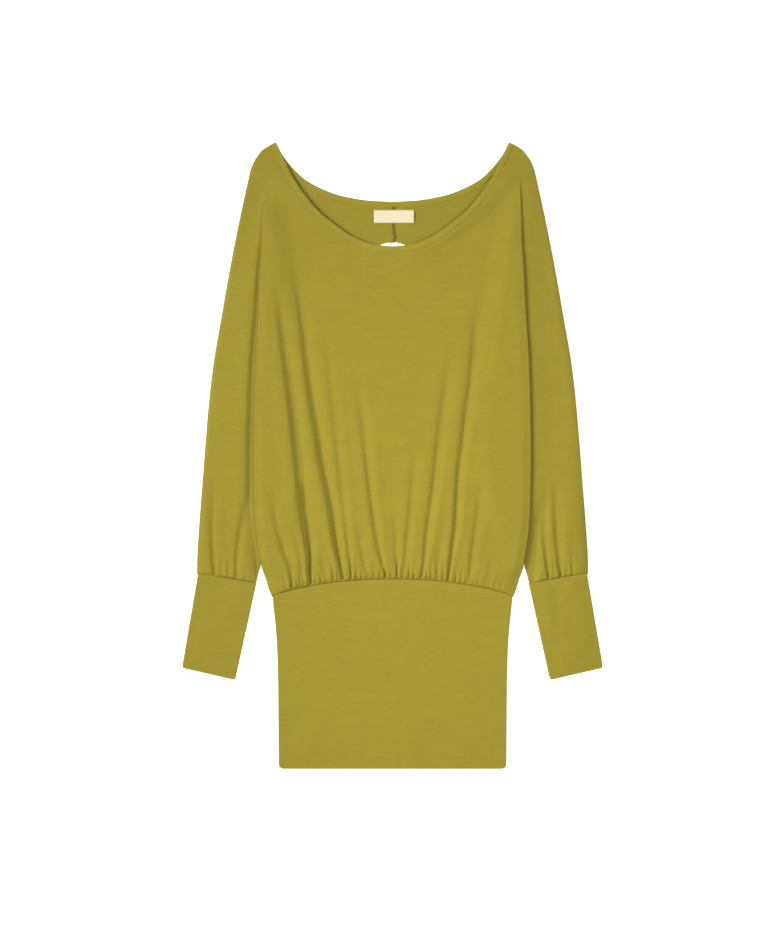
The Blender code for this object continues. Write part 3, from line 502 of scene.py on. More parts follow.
def foldColumns(y, side, front):
    # A panel turns under at the body's edge and comes out again as the sleeve
    edge = curve(bodyEdge, y)
    share = foldShare(y, side)
    depth = curve(foldDepth, y)
    flat = layerZ["front" if front else "back"]
    body, back = edgeLayers(y, front)
    deep = layerZ["frontReturnDeep"] if front else back
    sleeve = layerZ["sleeveFrontDeep"] if front else layerZ["sleeveBack"]
    inner = edge - depth
    turned = np.minimum(1.0, depth / garment["layerPitch"])
    riser = [mix(body, sleeve, i / 6) for i in range(7)]
    hair = 0.0002 * (1 - turned)
    near = np.minimum(bend, depth / 2)
    places = [
        (edge - bend, body + 0 * y),
        (edge - hair, mix(riser[1], (body + back) / 2, turned)),
        (edge - near, mix(riser[2], back, turned)),
        (edge - depth / 2, (back + deep) / 2 + 0 * y),
        (inner + near, mix(riser[4], deep, turned)),
        (inner + hair, mix(riser[5], (deep + sleeve) / 2, turned)),
        (inner + bend, sleeve + 0 * y),
    ]
    opened = [edge + (i - 1) * garment["foldSpread"] for i in range(len(places))]
    x, z = joined(places)
    return mix(np.concatenate(opened, 1), x, share), mix(flat, z, share)


def sleeveColumns(y, side, front):
    # From the inner fold under the body out to the sleeve's outer edge
    edge = curve(bodyEdge, y)
    outer = curve(outerEdge, y)
    share = foldShare(y, side)
    inner = edge - curve(foldDepth, y)
    spread = 6 * garment["foldSpread"]
    first = mix(edge + spread, inner + bend, share)
    start = mix(edge + spread + 0.002, np.maximum(edge + 0.001, inner + 0.006), share)
    start = np.minimum(start, outer - 0.004)
    hidden = np.arange(1, frontCloth["hiddenColumns"] + 1) / (frontCloth["hiddenColumns"] + 1)
    shown = np.linspace(0, 1, frontCloth["sleeveColumns"])
    shown = mix(shown, smooth(shown), 0.35)
    x = np.concatenate([mix(first, start, hidden), mix(start, outer, shown)], 1)
    z = sleeveZ(x, y + 0 * x, side, front)
    return x, z


def turnedSide(y, side, front):
    # The fold at the body's edge and the sleeve beyond it, as on the right
    x, z = joined([foldColumns(y, side, front), sleeveColumns(y, side, front)])
    return grid(x, y, z)


def neckPoint(neck, share, inset):
    x = share * garment["neckHalf"]
    ahead = np.minimum(garment["neckHalf"], x + 0.002)
    behind = np.maximum(0.0, x - 0.002)
    dx, dy = ahead - behind, curve(neck, ahead) - curve(neck, behind)
    dy = np.where(share <= 0, 0.0, dy)
    long = np.hypot(dx, dy)
    return x + inset * dy / long, curve(neck, x) - inset * dx / long


def neckRows(last, neck, level):
    # Rows that pass from the last level row to the neckline, ending on the shoulder. The last
    # of them goes under the strip
    x, y, z = last[:, 0], last[:, 1], last[:, 2]
    end = np.abs(x).max()
    part = np.abs(x) / end
    turn = np.where(x >= 0, 1.0, -1.0)
    rows = []
    count = frontCloth["neckRows"]
    steps = [(share, 0.0004) for share in np.arange(1, count + 1) / count]
    for share, past in steps + [(1.0, -binding["lap"])]:
        inset = garment["bindingWidth"] + past
        cornerX, cornerY = neckPoint(neck, np.array(1.0), inset)
        nx, ny = neckPoint(neck, part, inset)
        edgeY = mix(sideRows[-1], cornerY, smooth(share) * 0.3 + share * 0.7)
        edgeX = curve(outerEdge, edgeY) if share < 1 else cornerX
        px = mix(np.abs(x), nx, share) + part**6 * (edgeX - mix(end, cornerX, share))
        py = mix(y, ny, share) + part**6 * (edgeY - mix(sideRows[-1], cornerY, share))
        rows.append(np.stack([turn * px, py, mix(z, level, smooth(share * 1.1))], -1))
    return np.stack(rows)


def bodyColumns():
    # Shares across the body, from -1 to 1, closest together at the gathers
    half = garment["bodyHalfAtSeam"]
    places = []
    for gather in bodyGathers:
        places += [gather["foot"] + step for step in frontCloth["columnsAtGather"]]
    filled = [-half]
    for place in sorted(places) + [half]:
        gap = place - filled[-1]
        if gap < 0.0003:
            continue
        steps = math.ceil(gap / frontCloth["columnSpacing"])
        filled += [filled[-1] + gap * i / steps for i in range(1, steps + 1)]
    return np.array(filled)[None, :] / half


def makeUpperFront():
    # The rows between the underarm and the neck, across the body and both sleeves
    turns = np.linspace(0, len(sideRows) - 1, frontCloth["upperRows"])
    stations = np.arange(len(sideRows))
    side = np.interp(turns, stations, sideRows)[:, None]
    middle = np.interp(turns, stations, frontRows)[:, None]
    edge = curve(bodyEdge, side)
    x = bodyColumns() * (edge - 0.0016)
    y = middle + (side - middle) * (np.abs(x) / edge) ** 2.2
    body = grid(x, y, frontZ(x, y))
    left, right = (onSide(turnedSide(side, turn, True), turn) for turn in (-1, 1))
    rows = np.concatenate([left, body, right], 1)
    atNeck = rows[-1][:, 0] / np.abs(rows[-1][:, 0]).max() * garment["neckHalf"]
    level = frontNeckZ(atNeck) - (garment["clothWall"] + binding["wall"]) / 2
    return np.concatenate([rows, neckRows(rows[-1], frontNeck, level)])


def sideStrip(heightAt, front):
    # The body's edge and the hidden seam behind it, below the underarm
    y = heightAt(garment["bodyHalfAtSeam"])
    for _ in range(6):
        y = heightAt(curve(bodyEdge, y))
    edge, seam = curve(bodyEdge, y), curve(sideSeam, y)
    drop = sideDrop(y) if front else 0.0
    close = smooth((garment["underarmY"] - 0.004 - y) / 0.055)
    body, back = (level - drop for level in edgeLayers(y, front))
    near = seam + 0.0008 + 0.004 * close
    deep = seamZ = back
    if front:
        settled = drop / garment["sideSettle"]
        apexZ = (layerZ["frontReturnDeep"] + layerZ["sleeveFrontDeep"]) / 2
        seamZ = mix(apexZ, layerZ["backReturn"] + garment["layerPitch"], close)
        deep = mix(layerZ["frontReturnDeep"], back, settled)
        seamZ = mix(seamZ, back, settled)
    places = [(edge - bend, body), (edge, (body + back) / 2), (edge - bend, back),
              ((near + edge - bend) / 2, (back + deep) / 2), (near, deep), (seam, seamZ)]
    x, z = joined(places)
    if front:
        # At the hip seam its layers come down together, to go under the band
        wall = garment["clothWall"]
        atSeam = frontCloth["seamZ"] - np.array([0, wall / 2, wall, wall, wall, wall])
        z = mix(atSeam, z, smooth((heightAt(x) - hipSeam(x)) / 0.0012))
    return grid(x, heightAt(x), z)


rowsAboveSeam = np.array([
    0, 0.0005, 0.001, 0.0017, 0.0026, 0.004, 0.006, 0.0085, 0.0115, 0.0145, 0.018, 0.022, 0.0265,
    0.0315, 0.037, 0.043, 0.0495, 0.0565, 0.064, 0.072, 0.0805, 0.0895, 0.099, 0.109, 0.119, 0.129,
    0.139, 0.149,
])[:, None]
rowShares = rowsAboveSeam / (garment["underarmY"] - hip["middleY"])


def heightsFromSeam(seamAt, front):
    # Heights of rows that start along a seam and straighten out at the underarm
    firstGap = -frontCloth["seamTuck"] if front else garment["seamGap"]
    foot = np.where(rowsAboveSeam == 0, firstGap, 0.0)
    return lambda x: mix(seamAt(x) + foot, garment["underarmY"], rowShares)


def makeLowerBody():
    heightAt = heightsFromSeam(hipSeam, True)
    strip = sideStrip(heightAt, True)
    x = bodyColumns() * (strip[:, :1, 0] - 0.0008)
    y = heightAt(x)
    body = grid(x, y, frontZ(x, y))
    return np.concatenate([onSide(strip, -1), body, strip], 1)


def sleeveBelow(row, side, front):
    # The sleeve between the cuff and the underarm, with the row across that it has there
    parts = (row - row[0]) / (row[-1] - row[0])
    heightAt = heightsFromSeam(cuffSeam, front)
    even = np.linspace(0, 1, len(parts))
    across = mix(even, parts, smooth(rowShares * 1.2 - 0.2))
    x = mix(cuff["topInner"][0], cuff["topOuter"][0], across)
    for _ in range(6):
        y = heightAt(x)
        x = mix(curve(sleeveSeam, y), curve(outerEdge, y), across)
    z = sleeveZ(x, y, side, front)
    if front:
        up = rowShares * (garment["underarmY"] - cuff["topInner"][1])
        turns = x * 2 * math.pi / cuff["gatherEvery"] + 2 * np.sin(x * 160) + side
        wave = cuff["gatherDepth"] * np.sin(turns)
        z = z + wave * (1 - smooth(up / 0.026)) * smooth(np.minimum(across, 1 - across) * 8)
        z = np.maximum(z, layerZ["front"])
        z = mix(np.minimum(z, 0.0032), z, smooth((y - cuffSeam(x)) / 0.004))
        z = mix(frontCloth["seamZ"], z, smooth((y - cuffSeam(x)) / 0.0012))
    return grid(x, y, z)


def makeFront(material):
    cloth = Cloth()
    upper = makeUpperFront()
    numbers = cloth.add(upper)
    cloth.weave(numbers)
    half = 7 + frontCloth["hiddenColumns"] + frontCloth["sleeveColumns"]
    apexLeft = half - 6
    apexRight = upper.shape[1] - 1 - apexLeft
    cloth.join(makeLowerBody(), numbers[:1, apexLeft:apexRight + 1])
    for side, low, high in ((-1, 0, apexLeft), (1, apexRight, upper.shape[1] - 1)):
        row = np.abs(upper[0, low:high + 1, 0])[::side]
        cloth.join(onSide(sleeveBelow(row, side, True), side), numbers[:1, low:high + 1])
    return cloth.make("front_panel", garment["clothWall"], material)


# The back, in two halves with a round opening between them

backCloth = {
    "bodyColumns": 84,
    "keyholeY": 0.72,
    "keyholeRadius": 0.044,
    "keyholeBinding": 0.006,
    "rowsBelowKeyhole": [0.434, 0.515, 0.6],
    "rowsAboveKeyhole": [0.777, 0.785],
    "seed": 23,
}
backFolds = [
    ([(-104, 262), (-110, 330), (-116, 410), (-120, 480), (-124, 560)], 4.6, -0.7),
    ([(-52, 272), (-58, 330), (-63, 390), (-66, 450)], 4.0, -0.7),
    ([(-20, 275), (-23, 320), (-25, 372)], 3.4, -0.6),
    ([(34, 274), (38, 330), (43, 400), (46, 470)], 4.4, -0.7),
    ([(88, 268), (95, 340), (103, 420), (108, 500)], 4.2, -0.7),
    ([(132, 262), (139, 310), (143, 352)], 3.4, -0.6),
]
backGathers = seamGathers(np.random.default_rng(backCloth["seed"]))


def backZ(x, y):
    # The back lies flat; its creases rise from the floor, and it puckers at its seam
    above = y - hipSeam(x)
    z = layerZ["back"] + foldRelief(backFolds, x, y)
    z = z - 0.3 * gatherRelief(backGathers, x, above)
    shown = smooth((y - 0.748) / 0.02)
    pucker = hill(np.abs(x), 0.006, 0.005) * np.sin((y - 0.765) * 2 * math.pi / 0.011)
    z = z + 0.0007 * shown * pucker * hill(y, 0.774, 0.01)
    z = z + 0.00035 * shown * np.sin(x * 95 + 0.6) * np.sin(y * 120 + x * 40)
    return np.maximum(z, layerZ["back"])


def makeBack(side, name, material):
    cloth = Cloth()
    radius = backCloth["keyholeRadius"] + backCloth["keyholeBinding"] - binding["lap"]
    below, above = backCloth["rowsBelowKeyhole"], backCloth["rowsAboveKeyhole"]
    turns = np.concatenate([np.linspace(0, 3, 13)[:-1], np.linspace(3, 11, 41), [11.5, 12, 12.5, 13]])
    angle = math.pi * (1 - np.clip((turns - 3) / 8, 0, 1))
    opening = backCloth["keyholeY"] + radius * np.cos(angle)
    under = np.interp(turns, [0, 1, 2, 3], below + [backCloth["keyholeY"] - radius])
    over = np.interp(turns, [11, 12, 13], [backCloth["keyholeY"] + radius] + above)
    middle = np.where(turns < 3, under, np.where(turns > 11, over, opening))[:, None]
    start = (radius * np.sin(angle))[:, None]
    sides = np.interp(turns, np.arange(len(sideRows)), sideRows)[:, None]
    edge = curve(bodyEdge, sides)
    across = np.concatenate([[0, 0.003], np.linspace(0.014, 1, backCloth["bodyColumns"])[:-1]])[None]
    x = mix(start, edge - bend, across)
    share = np.clip((x - 0.055) / (edge - 0.055), 0, 1)
    y = middle + (sides - middle) * share**2
    body = grid(x, y, backZ(side * x, y))
    rows = np.concatenate([body, turnedSide(sides, side, False)], 1)
    rows = np.concatenate([rows, neckRows(rows[-1], backNeck, layerZ["back"])])
    numbers = cloth.add(onSide(rows, side))
    cloth.weave(numbers)
    heightAt = heightsFromSeam(hipSeam, False)
    strip = sideStrip(heightAt, False)
    x = strip[:, :1, 0] * across
    y = heightAt(x)
    lower = np.concatenate([grid(x, y, backZ(side * x, y)), strip], 1)
    apex = body.shape[1] + 5
    sleeve = sleeveBelow(rows[0, apex:, 0], side, False)
    outwards = numbers[:1, ::side]
    for part, row in ((lower, outwards[:, :apex + 1]), (sleeve, outwards[:, apex:])):
        cloth.join(onSide(part, side), row[:, ::side])
    return cloth.make(name, garment["clothWall"], material)


# The hip band

band = {
    "wall": 0.0013,
    "rounding": 0.0005,
    "columns": 150,
    "frontZ": 0.003,
    "backZ": 0.0008,
}
bandCreases = [
    ([(10, 4), (11, 40), (9, 92)], 7.0, 0.35),
    ([(-150, 30), (-143, 60), (-134, 84)], 6.0, 0.3),
    ([(147, 24), (140, 52), (128, 80)], 6.0, 0.3),
    ([(-60, 120), (-64, 180), (-66, 240)], 9.0, 0.35),
    ([(72, 130), (78, 190), (82, 244)], 9.0, 0.35),
]


def makeBand(name, level, creased, material):
    across = np.linspace(-1, 1, band["columns"])[None, :]
    across = mix(across, np.sin(across * math.pi / 2), 0.35)
    rows = np.concatenate([[0, 0.0004, 0.001, 0.002, 0.004, 0.007], np.linspace(0.012, 0.235, 38),
                           [0.243, 0.249, 0.254, 0.259, 0.264, 0.268, 0.271, 0.273, 0.2743, 0.275]])
    share = rows[:, None] / hip["middleY"]
    x = across * 0.17
    for _ in range(5):
        top = hipSeam(x) - garment["seamGap"]
        y = mix(rows[:, None], share * top, smooth((rows[:, None] - 0.1) / 0.12))
        x = across * curve(bandEdge, y)
    z = level + 0 * x
    if creased:
        z = z + foldRelief(bandCreases, x, y, 4.0)
        z = z + 0.0003 * np.sin(x * 38 + y * 9) * np.sin(y * 26 + 1) * smooth(y / 0.03)
        z = z + 0.12 * gatherRelief(bodyGathers, x, top - y) * hill(top - y, 0.004, 0.006)
        z = z - 0.0003 * hill(top - y, 0.0, 0.0015)
        z = np.maximum(z, level - 0.0005)
    return woven(name, grid(x, y, z), band["wall"], material, band["rounding"])


# The cuffs, each a flattened tube


def makeCuff(side, name, material):
    low, high = cuff["lowZ"], cuff["highZ"]
    half, middleZ = (high - low) / 2, (high + low) / 2
    along = np.concatenate([[0, 0.008, 0.02], np.linspace(0.04, 0.96, cuff["rows"]),
                            [0.975, 0.985, 0.992, 0.997, 1.0]])[:, None]
    inner = [mix(a, b, along) for a, b in zip(cuff["topInner"], cuff["lowInner"])]
    outer = [mix(a, b, along) for a, b in zip(cuff["topOuter"], cuff["lowOuter"])]
    pinch = 0.03 * np.clip((along - 0.962) / 0.038, 0, 1) ** 2.5
    flat = np.linspace(0.012, 0.988, cuff["columns"])
    bulge = cuff["puff"] * smooth(np.minimum(flat, 1 - flat) / 0.3)
    turn = np.linspace(0, math.pi, 7)[1:-1]
    rightPart = 0.988 + 0.012 * np.sin(turn)
    part = np.concatenate([flat, rightPart, flat[::-1], 1 - rightPart])[None, :]
    z = np.concatenate([high + bulge, middleZ + half * np.cos(turn), np.full(len(flat), low),
                        middleZ - half * np.cos(turn)])[None, :]
    part = mix(pinch, 1 - pinch, part)
    x, y = (mix(a, b, part) for a, b in zip(inner, outer))
    upper = smooth((z - middleZ) / half)
    ends = smooth(along / 0.12) * smooth((1 - along) / 0.1)
    z = np.where(z > high, mix(high, z, ends), z)
    if side > 0:
        z = z - 0.0009 * upper * hill(x, 0.2385, 0.008) * ends * (1 - 0.6 * along)
    z = z + 0.0003 * upper * np.sin(y * 60 + side) * np.sin(x * 90) * ends
    z = z - 0.0007 * upper * hill(along, 0.0, 0.014)
    piece = woven(name, grid(side * x, y, z), cuff["wall"], material, 0.0004, True)
    if side > 0:
        piece.data.flip_normals()
    return piece


# Bindings and label


def makeNeckBinding(name, neck, levelAt, material):
    half = 1 - (1 - np.linspace(0, 1, binding["stations"])) ** 1.4
    part = np.concatenate([-half[:0:-1], half])[None, :]
    across = np.array([1, 0.985, 0.94, 0.86, 0.74, 0.6, 0.45, 0.3, 0.17, 0.08, 0.02, 0.0])[:, None]
    x, y = neckPoint(neck, np.abs(part) + 0 * across, across * garment["bindingWidth"])
    x = x * np.sign(part)
    crown = [(0, 0), (0.1, 0.55), (0.4, 1), (0.8, 0.45), (1, 0)]
    z = levelAt(x) + binding["crown"] * curve(crown, across)
    return woven(name, grid(x, y, z), binding["wall"], material, 0.00025)


def makeKeyholeBinding(material):
    cloth = Cloth()
    angle = np.linspace(0, 2 * math.pi, 181)[None, :-1]
    across = np.linspace(0, 1, 7)[:, None]
    radius = backCloth["keyholeRadius"] + backCloth["keyholeBinding"] * across
    bent = (angle + math.pi) % (2 * math.pi) - math.pi
    radius = radius - 0.0011 * hill(bent, -0.03, 0.05) * (1 - across)
    x = radius * np.sin(angle)
    y = backCloth["keyholeY"] + radius * np.cos(angle)
    z = mix(0.0008, binding["backZ"], across) + 0.0002 * np.sin(math.pi * across) + 0 * x
    cloth.weave(cloth.add(grid(x, y, z))[::-1], closed=True)
    return cloth.make("keyhole_strip", binding["wall"], material, 0.00015)


# The centre-back seam's overlocked edge, which shows inside the neck

centreSeam = {
    "path": [(0.765, 0.001), (0.7685, 0.0026), (0.772, 0.0036), (0.776, 0.0022),
             (0.783, 0.0014), (0.795, 0.0008), (0.808, 0.0012), (0.816, 0.0014)],
    "wide": 0.0022,
    "thick": 0.0008,
    "z": 0.0013,
    "overKeyhole": 0.0007,      # how much higher it runs over the keyhole's strip
    "stitched": (0.7655, 0.8155),
    "stitchLift": 0.0002,
}


def centreSeamAt(y):
    raised = 1 - smooth((y - 0.7695) / 0.004)
    return curve(centreSeam["path"], y), centreSeam["z"] + centreSeam["overKeyhole"] * raised


def makeCentreSeam(material):
    y = np.linspace(centreSeam["path"][0][0], centreSeam["path"][-1][0], 60)[:, None]
    middle, z = centreSeamAt(y)
    across = np.array([-0.5, -0.25, 0.0, 0.25, 0.5])[None, :]
    ripple = 0.0002 * np.sin(y * 2 * math.pi / 0.0041)
    x = middle + ripple + across * centreSeam["wide"]
    points = grid(x, y, z + 0.0001 * np.cos(across * math.pi))
    return woven("centre_seam_edge", points, centreSeam["thick"], material, 0.0003)


label = {
    "size": (0.058, 0.019),
    "centre": (0.002, 0.8015),
    "z": 0.0024,
    "wall": 0.0004,
    "threadWide": 0.0006,
    "pickTall": 0.0005,
    "stitchInset": 0.0008,      # from the label's edges to the stitches
}


def makeLabel(material):
    wide, tall = label["size"]
    x = label["centre"][0] + np.linspace(-0.5, 0.5, 41)[None, :] * wide
    y = label["centre"][1] + np.linspace(-0.5, 0.5, 15)[:, None] * tall
    z = label["z"] + 0.0003 * np.sin((x - 0.01) * 70) * hill(y, label["centre"][1], 0.007)
    return woven("plain_label", grid(x, y, z), label["wall"], material, 0.00015)


# Materials


class Value:
    # A socket in a node tree, with arithmetic that adds Math nodes
    def __init__(self, tree, socket):
        self.tree = tree
        self.socket = socket

    def node(self, kind, settings=None, inputs=None, output=0):
        made = self.tree.nodes.new(kind)
        for key, value in (settings or {}).items():
            setattr(made, key, value)
        for key, value in (inputs or {}).items():
            if isinstance(value, Value):
                self.tree.links.new(value.socket, made.inputs[key])
            else:
                made.inputs[key].default_value = value
        return Value(self.tree, made.outputs[output])

    def math(self, operation, a, b=0.0):
        return self.node("ShaderNodeMath", {"operation": operation}, {0: a, 1: b})

    def __add__(self, other):
        return self.math("ADD", self, other)

    def __sub__(self, other):
        return self.math("SUBTRACT", self, other)

    def __mul__(self, other):
        return self.math("MULTIPLY", self, other)

    def noise(self, size, detail=2.0):
        sized = self.node("ShaderNodeVectorMath", {"operation": "MULTIPLY"}, {0: self, 1: size})
        return self.node("ShaderNodeTexNoise", {}, {"Vector": sized, "Scale": 1.0, "Detail": detail})

    def ramp(self, low, high):
        return self.node("ShaderNodeMapRange", {"clamp": True},
                         {"Value": self, "From Min": low, "From Max": high})

    def parts(self):
        # Its first two parts, across and up
        made = self.node("ShaderNodeSeparateXYZ", {}, {0: self})
        return [Value(self.tree, made.socket.node.outputs[i]) for i in (0, 1)]

    def wave(self, size):
        return self.math("SINE", self * (2 * math.pi / size))

    def bump(self, strength):
        return self.node("ShaderNodeBump", {}, {"Height": self, "Strength": strength, "Distance": 1.0})

    def tint(self, dark, light):
        # From one colour to the other by this value
        return self.node("ShaderNodeMix", {"data_type": "RGBA"}, {0: self, 6: dark, 7: light}, 2)


def newMaterial(name, settings):
    # A principled surface; the constants go on its own sockets
    material = bpy.data.materials.new(name)
    material.use_nodes = True
    tree = material.node_tree
    shader = tree.nodes["Principled BSDF"]
    for key, value in settings.items():
        shader.inputs[key].default_value = value
    place = Value(tree, tree.nodes.new("ShaderNodeTexCoord").outputs["Object"])
    return material, shader, place


def link(shader, name, value):
    shader.id_data.links.new(value.socket, shader.inputs[name])


jersey = {
    "colour": (0.352, 0.285, 0.0165),
    "spread": 0.105,            # how much lighter and darker the yarns are
    "slubLong": 0.008,
    "slubTall": 0.0017,
    "courseTall": 0.0009,
    "waleWide": 0.0012,
    "slubBump": 0.00016,
    "knitBump": 0.00005,
    "fuzz": 0.00005,
}


def shade(colour, factor):
    return tuple(part * factor for part in colour) + (1.0,)


def jerseyMaterial(name, tone=1.0, turn=0.0):
    # Slubby single jersey: uneven yarns across, fine stitches and a little fuzz
    material, shader, place = newMaterial(name, {
        "Roughness": 0.9, "Specular IOR Level": 0.55, "Sheen Weight": 0.03,
        "Sheen Roughness": 0.5, "Sheen Tint": (0.85, 0.76, 0.3, 1.0),
    })
    if turn:
        place = place.node("ShaderNodeMapping", {}, {"Vector": place, "Rotation": (0, 0, turn)})
    slub = place.noise((1 / jersey["slubLong"], 1 / jersey["slubTall"], 90.0), 3.0)
    longSlub = place.noise((9.0, 250.0, 60.0), 1.0)
    blotch = place.noise((38.0, 46.0, 40.0), 2.0)
    fuzz = place.noise((900.0, 1100.0, 900.0), 2.0)
    yarn = slub * 0.55 + longSlub * 0.2 + fuzz * 0.25
    mask = ((yarn - 0.5) * 2.1 + (blotch - 0.5) * 0.6 + 0.5).ramp(0.0, 1.0)
    # tone scales the whole colour; the back panels, the neck strips and the centre seam's edge use it
    # for painted shade and painted highlights
    colour = tuple(part * tone for part in jersey["colour"])
    dark, light = (shade(colour, 1 + change * jersey["spread"]) for change in (-1, 1))
    link(shader, "Base Color", mask.tint(dark, light))
    across, up = place.parts()
    wales = across.wave(jersey["waleWide"])
    courses = up.wave(jersey["courseTall"])
    relief = (wales * 0.5 + courses * 0.5) * jersey["knitBump"]
    relief = relief + yarn * jersey["slubBump"] + fuzz * jersey["fuzz"]
    link(shader, "Normal", relief.bump(0.8))
    link(shader, "Roughness", mask * 0.1 + 0.84)
    return material


def labelMaterial():
    material, shader, place = newMaterial("label weave", {
        "Roughness": 0.6, "Specular IOR Level": 0.3, "Sheen Weight": 0.1})
    across, up = place.parts()
    threads = across.wave(label["threadWide"])
    picks = up.wave(label["pickTall"])
    grain = place.noise((300.0, 900.0, 300.0), 2.0)
    mask = (threads * picks * 0.2 + grain).ramp(0.2, 0.9)
    link(shader, "Base Color", mask.tint((0.92, 0.82, 0.55, 1), (0.97, 0.88, 0.62, 1)))
    relief = threads * picks * 0.00003 + grain * 0.00003
    link(shader, "Normal", relief.bump(0.7))
    return material


def threadMaterial(name, colour):
    material, shader, place = newMaterial(name, {"Roughness": 0.7, "Sheen Weight": 0.1})
    twist = place.noise((2500.0, 2500.0, 2500.0), 1.0)
    link(shader, "Base Color", twist.ramp(0.3, 0.7).tint(shade(colour, 0.85), shade(colour, 1.1)))
    return material


# Stitches, laid along a line by geometry nodes

stitching = {
    "label": {"Every": 0.0022, "Long": 0.0014, "Thick": 0.00028, "Lean": 0.0},
    "seam": {"Every": 0.0012, "Long": 0.0027, "Thick": 0.0003, "Lean": 1.1},
}


def stitchTree():
    # Short round stitches at even steps along a line, all leaning by one angle from it
    tree = bpy.data.node_groups.new("stitches along a line", "GeometryNodeTree")
    sizes = {}
    for name, kind in (("Line", "Geometry"), ("Every", "Float"), ("Long", "Float"), ("Thick", "Float"),
                       ("Lean", "Float"), ("Thread", "Material")):
        made = tree.interface.new_socket(name, in_out="INPUT", socket_type="NodeSocket" + kind)
        sizes[name] = made.identifier
    tree.interface.new_socket("Stitches", in_out="OUTPUT", socket_type="NodeSocketGeometry")
    new = tree.nodes.new
    given, result = new("NodeGroupInput"), new("NodeGroupOutput")
    path = new("GeometryNodeMeshToCurve")
    steps = new("GeometryNodeCurveToPoints")
    steps.mode = "LENGTH"
    along = new("FunctionNodeAlignRotationToVector")
    along.axis = "Z"
    lean = new("FunctionNodeRotateRotation")
    lean.rotation_space = "GLOBAL"
    axis = new("FunctionNodeAxisAngleToRotation")
    axis.inputs["Axis"].default_value = (0, 0, 1)
    body = new("GeometryNodeMeshCylinder")
    body.inputs["Vertices"].default_value = 6
    body.inputs["Side Segments"].default_value = 3
    place = new("GeometryNodeInstanceOnPoints")
    real = new("GeometryNodeRealizeInstances")
    finish = new("GeometryNodeSetMaterial")
    for source, out, target, name in (
        (given, "Line", path, "Mesh"), (path, "Curve", steps, "Curve"),
        (given, "Every", steps, "Length"), (given, "Thick", body, "Radius"),
        (given, "Long", body, "Depth"), (body, "Mesh", place, "Instance"),
        (steps, "Points", place, "Points"), (given, "Lean", axis, "Angle"),
        (steps, "Tangent", along, "Vector"), (along, "Rotation", lean, "Rotation"),
        (axis, "Rotation", lean, "Rotate By"), (lean, "Rotation", place, "Rotation"),
        (place, "Instances", real, "Geometry"), (real, "Geometry", finish, "Geometry"),
        (given, "Thread", finish, "Material"), (finish, "Geometry", result, "Stitches"),
    ):
        tree.links.new(source.outputs[out], target.inputs[name])
    return tree, sizes


def makeStitches(name, points, material, values):
    tree, sizes = stitchTree()
    mesh = bpy.data.meshes.new(name + " line")
    shifted = [(x, y - garment["length"] / 2, z) for x, y, z in points]
    mesh.from_pydata(shifted, [(i, i + 1) for i in range(len(points) - 1)], [])
    line = linked(name + " line", mesh)
    nodes = line.modifiers.new("stitches", "NODES")
    nodes.node_group = tree
    for key, value in values.items():
        nodes[sizes[key]] = value
    nodes[sizes["Thread"]] = material
    bpy.context.view_layer.update()
    made = bpy.data.meshes.new_from_object(line.evaluated_get(bpy.context.evaluated_depsgraph_get()))
    bpy.data.objects.remove(line)
    made.shade_smooth()
    return linked(name, made)


# The set

studio = {
    "lens": 85.0,
    "cameraAt": (-0.0036, -0.018, 3.21),
    "fill": 0.17,
    "boxes": {                  # one wide soft box on each side
        "left box": {"strength": 2.7, "from": (-1.0, 0.12, 0.72)},
        "right box": {"strength": 0.85, "from": (1.0, 0.12, 0.72)},
    },
    "topBox": {"watts": 1.0, "wide": 0.2, "long": 0.8, "at": (0.0, -0.08, 0.5)},
    "boxSpread": 30.0,          # degrees across, as a soft box looks from the garment
    "floorHalf": 30.0,
    "floorColour": (0.93, 0.93, 0.93, 1.0),
    "floorGlow": 0.75,
}


def makeStudio():
    scene = bpy.context.scene
    camera = linked("camera", bpy.data.cameras.new("camera"))
    camera.data.lens = studio["lens"]
    camera.location = studio["cameraAt"]
    scene.camera = camera
    floorMesh = bpy.data.meshes.new("floor")
    half = studio["floorHalf"]
    corners = [(-half, -half, 0), (half, -half, 0), (half, half, 0), (-half, half, 0)]
    floorMesh.from_pydata(corners, [], [(0, 1, 2, 3)])
    floor = linked("floor", floorMesh)
    floor.location.z = -0.0002
    material, shader, place = newMaterial("pale floor", {
        "Roughness": 0.9, "Emission Color": (1.0, 1.0, 1.0, 1.0),
        "Emission Strength": studio["floorGlow"]})
    grain = place.noise((40.0, 40.0, 40.0), 2.0)
    link(shader, "Base Color", grain.tint(studio["floorColour"], (0.95, 0.95, 0.95, 1.0)))
    floorMesh.materials.append(material)
    for name, box in studio["boxes"].items():
        light = bpy.data.lights.new(name, "SUN")
        light.energy = box["strength"]
        light.angle = math.radians(studio["boxSpread"])
        lamp = linked(name, light)
        lamp.location = box["from"]
        lamp.rotation_euler = (-Vector(box["from"])).to_track_quat("-Z", "Y").to_euler()
    top, given = bpy.data.lights.new("top box", "AREA"), studio["topBox"]
    top.energy = given["watts"]
    top.shape = "RECTANGLE"
    top.size, top.size_y = given["wide"], given["long"]
    lamp = linked("top box", top)
    lamp.location = given["at"]
    lamp.visible_camera = False
    world = bpy.data.worlds.new("studio")
    world.use_nodes = True
    background = world.node_tree.nodes["Background"]
    background.inputs[0].default_value = (1.0, 1.0, 1.0, 1.0)
    background.inputs[1].default_value = studio["fill"]
    scene.world = world
    scene.view_settings.view_transform = "Standard"


def carry(pieces):
    for piece in pieces:
        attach(piece, "root")


def dress(piece, node):
    # Hangs a piece on the root and hides the solid it stands for
    carry([piece])
    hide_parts(node)


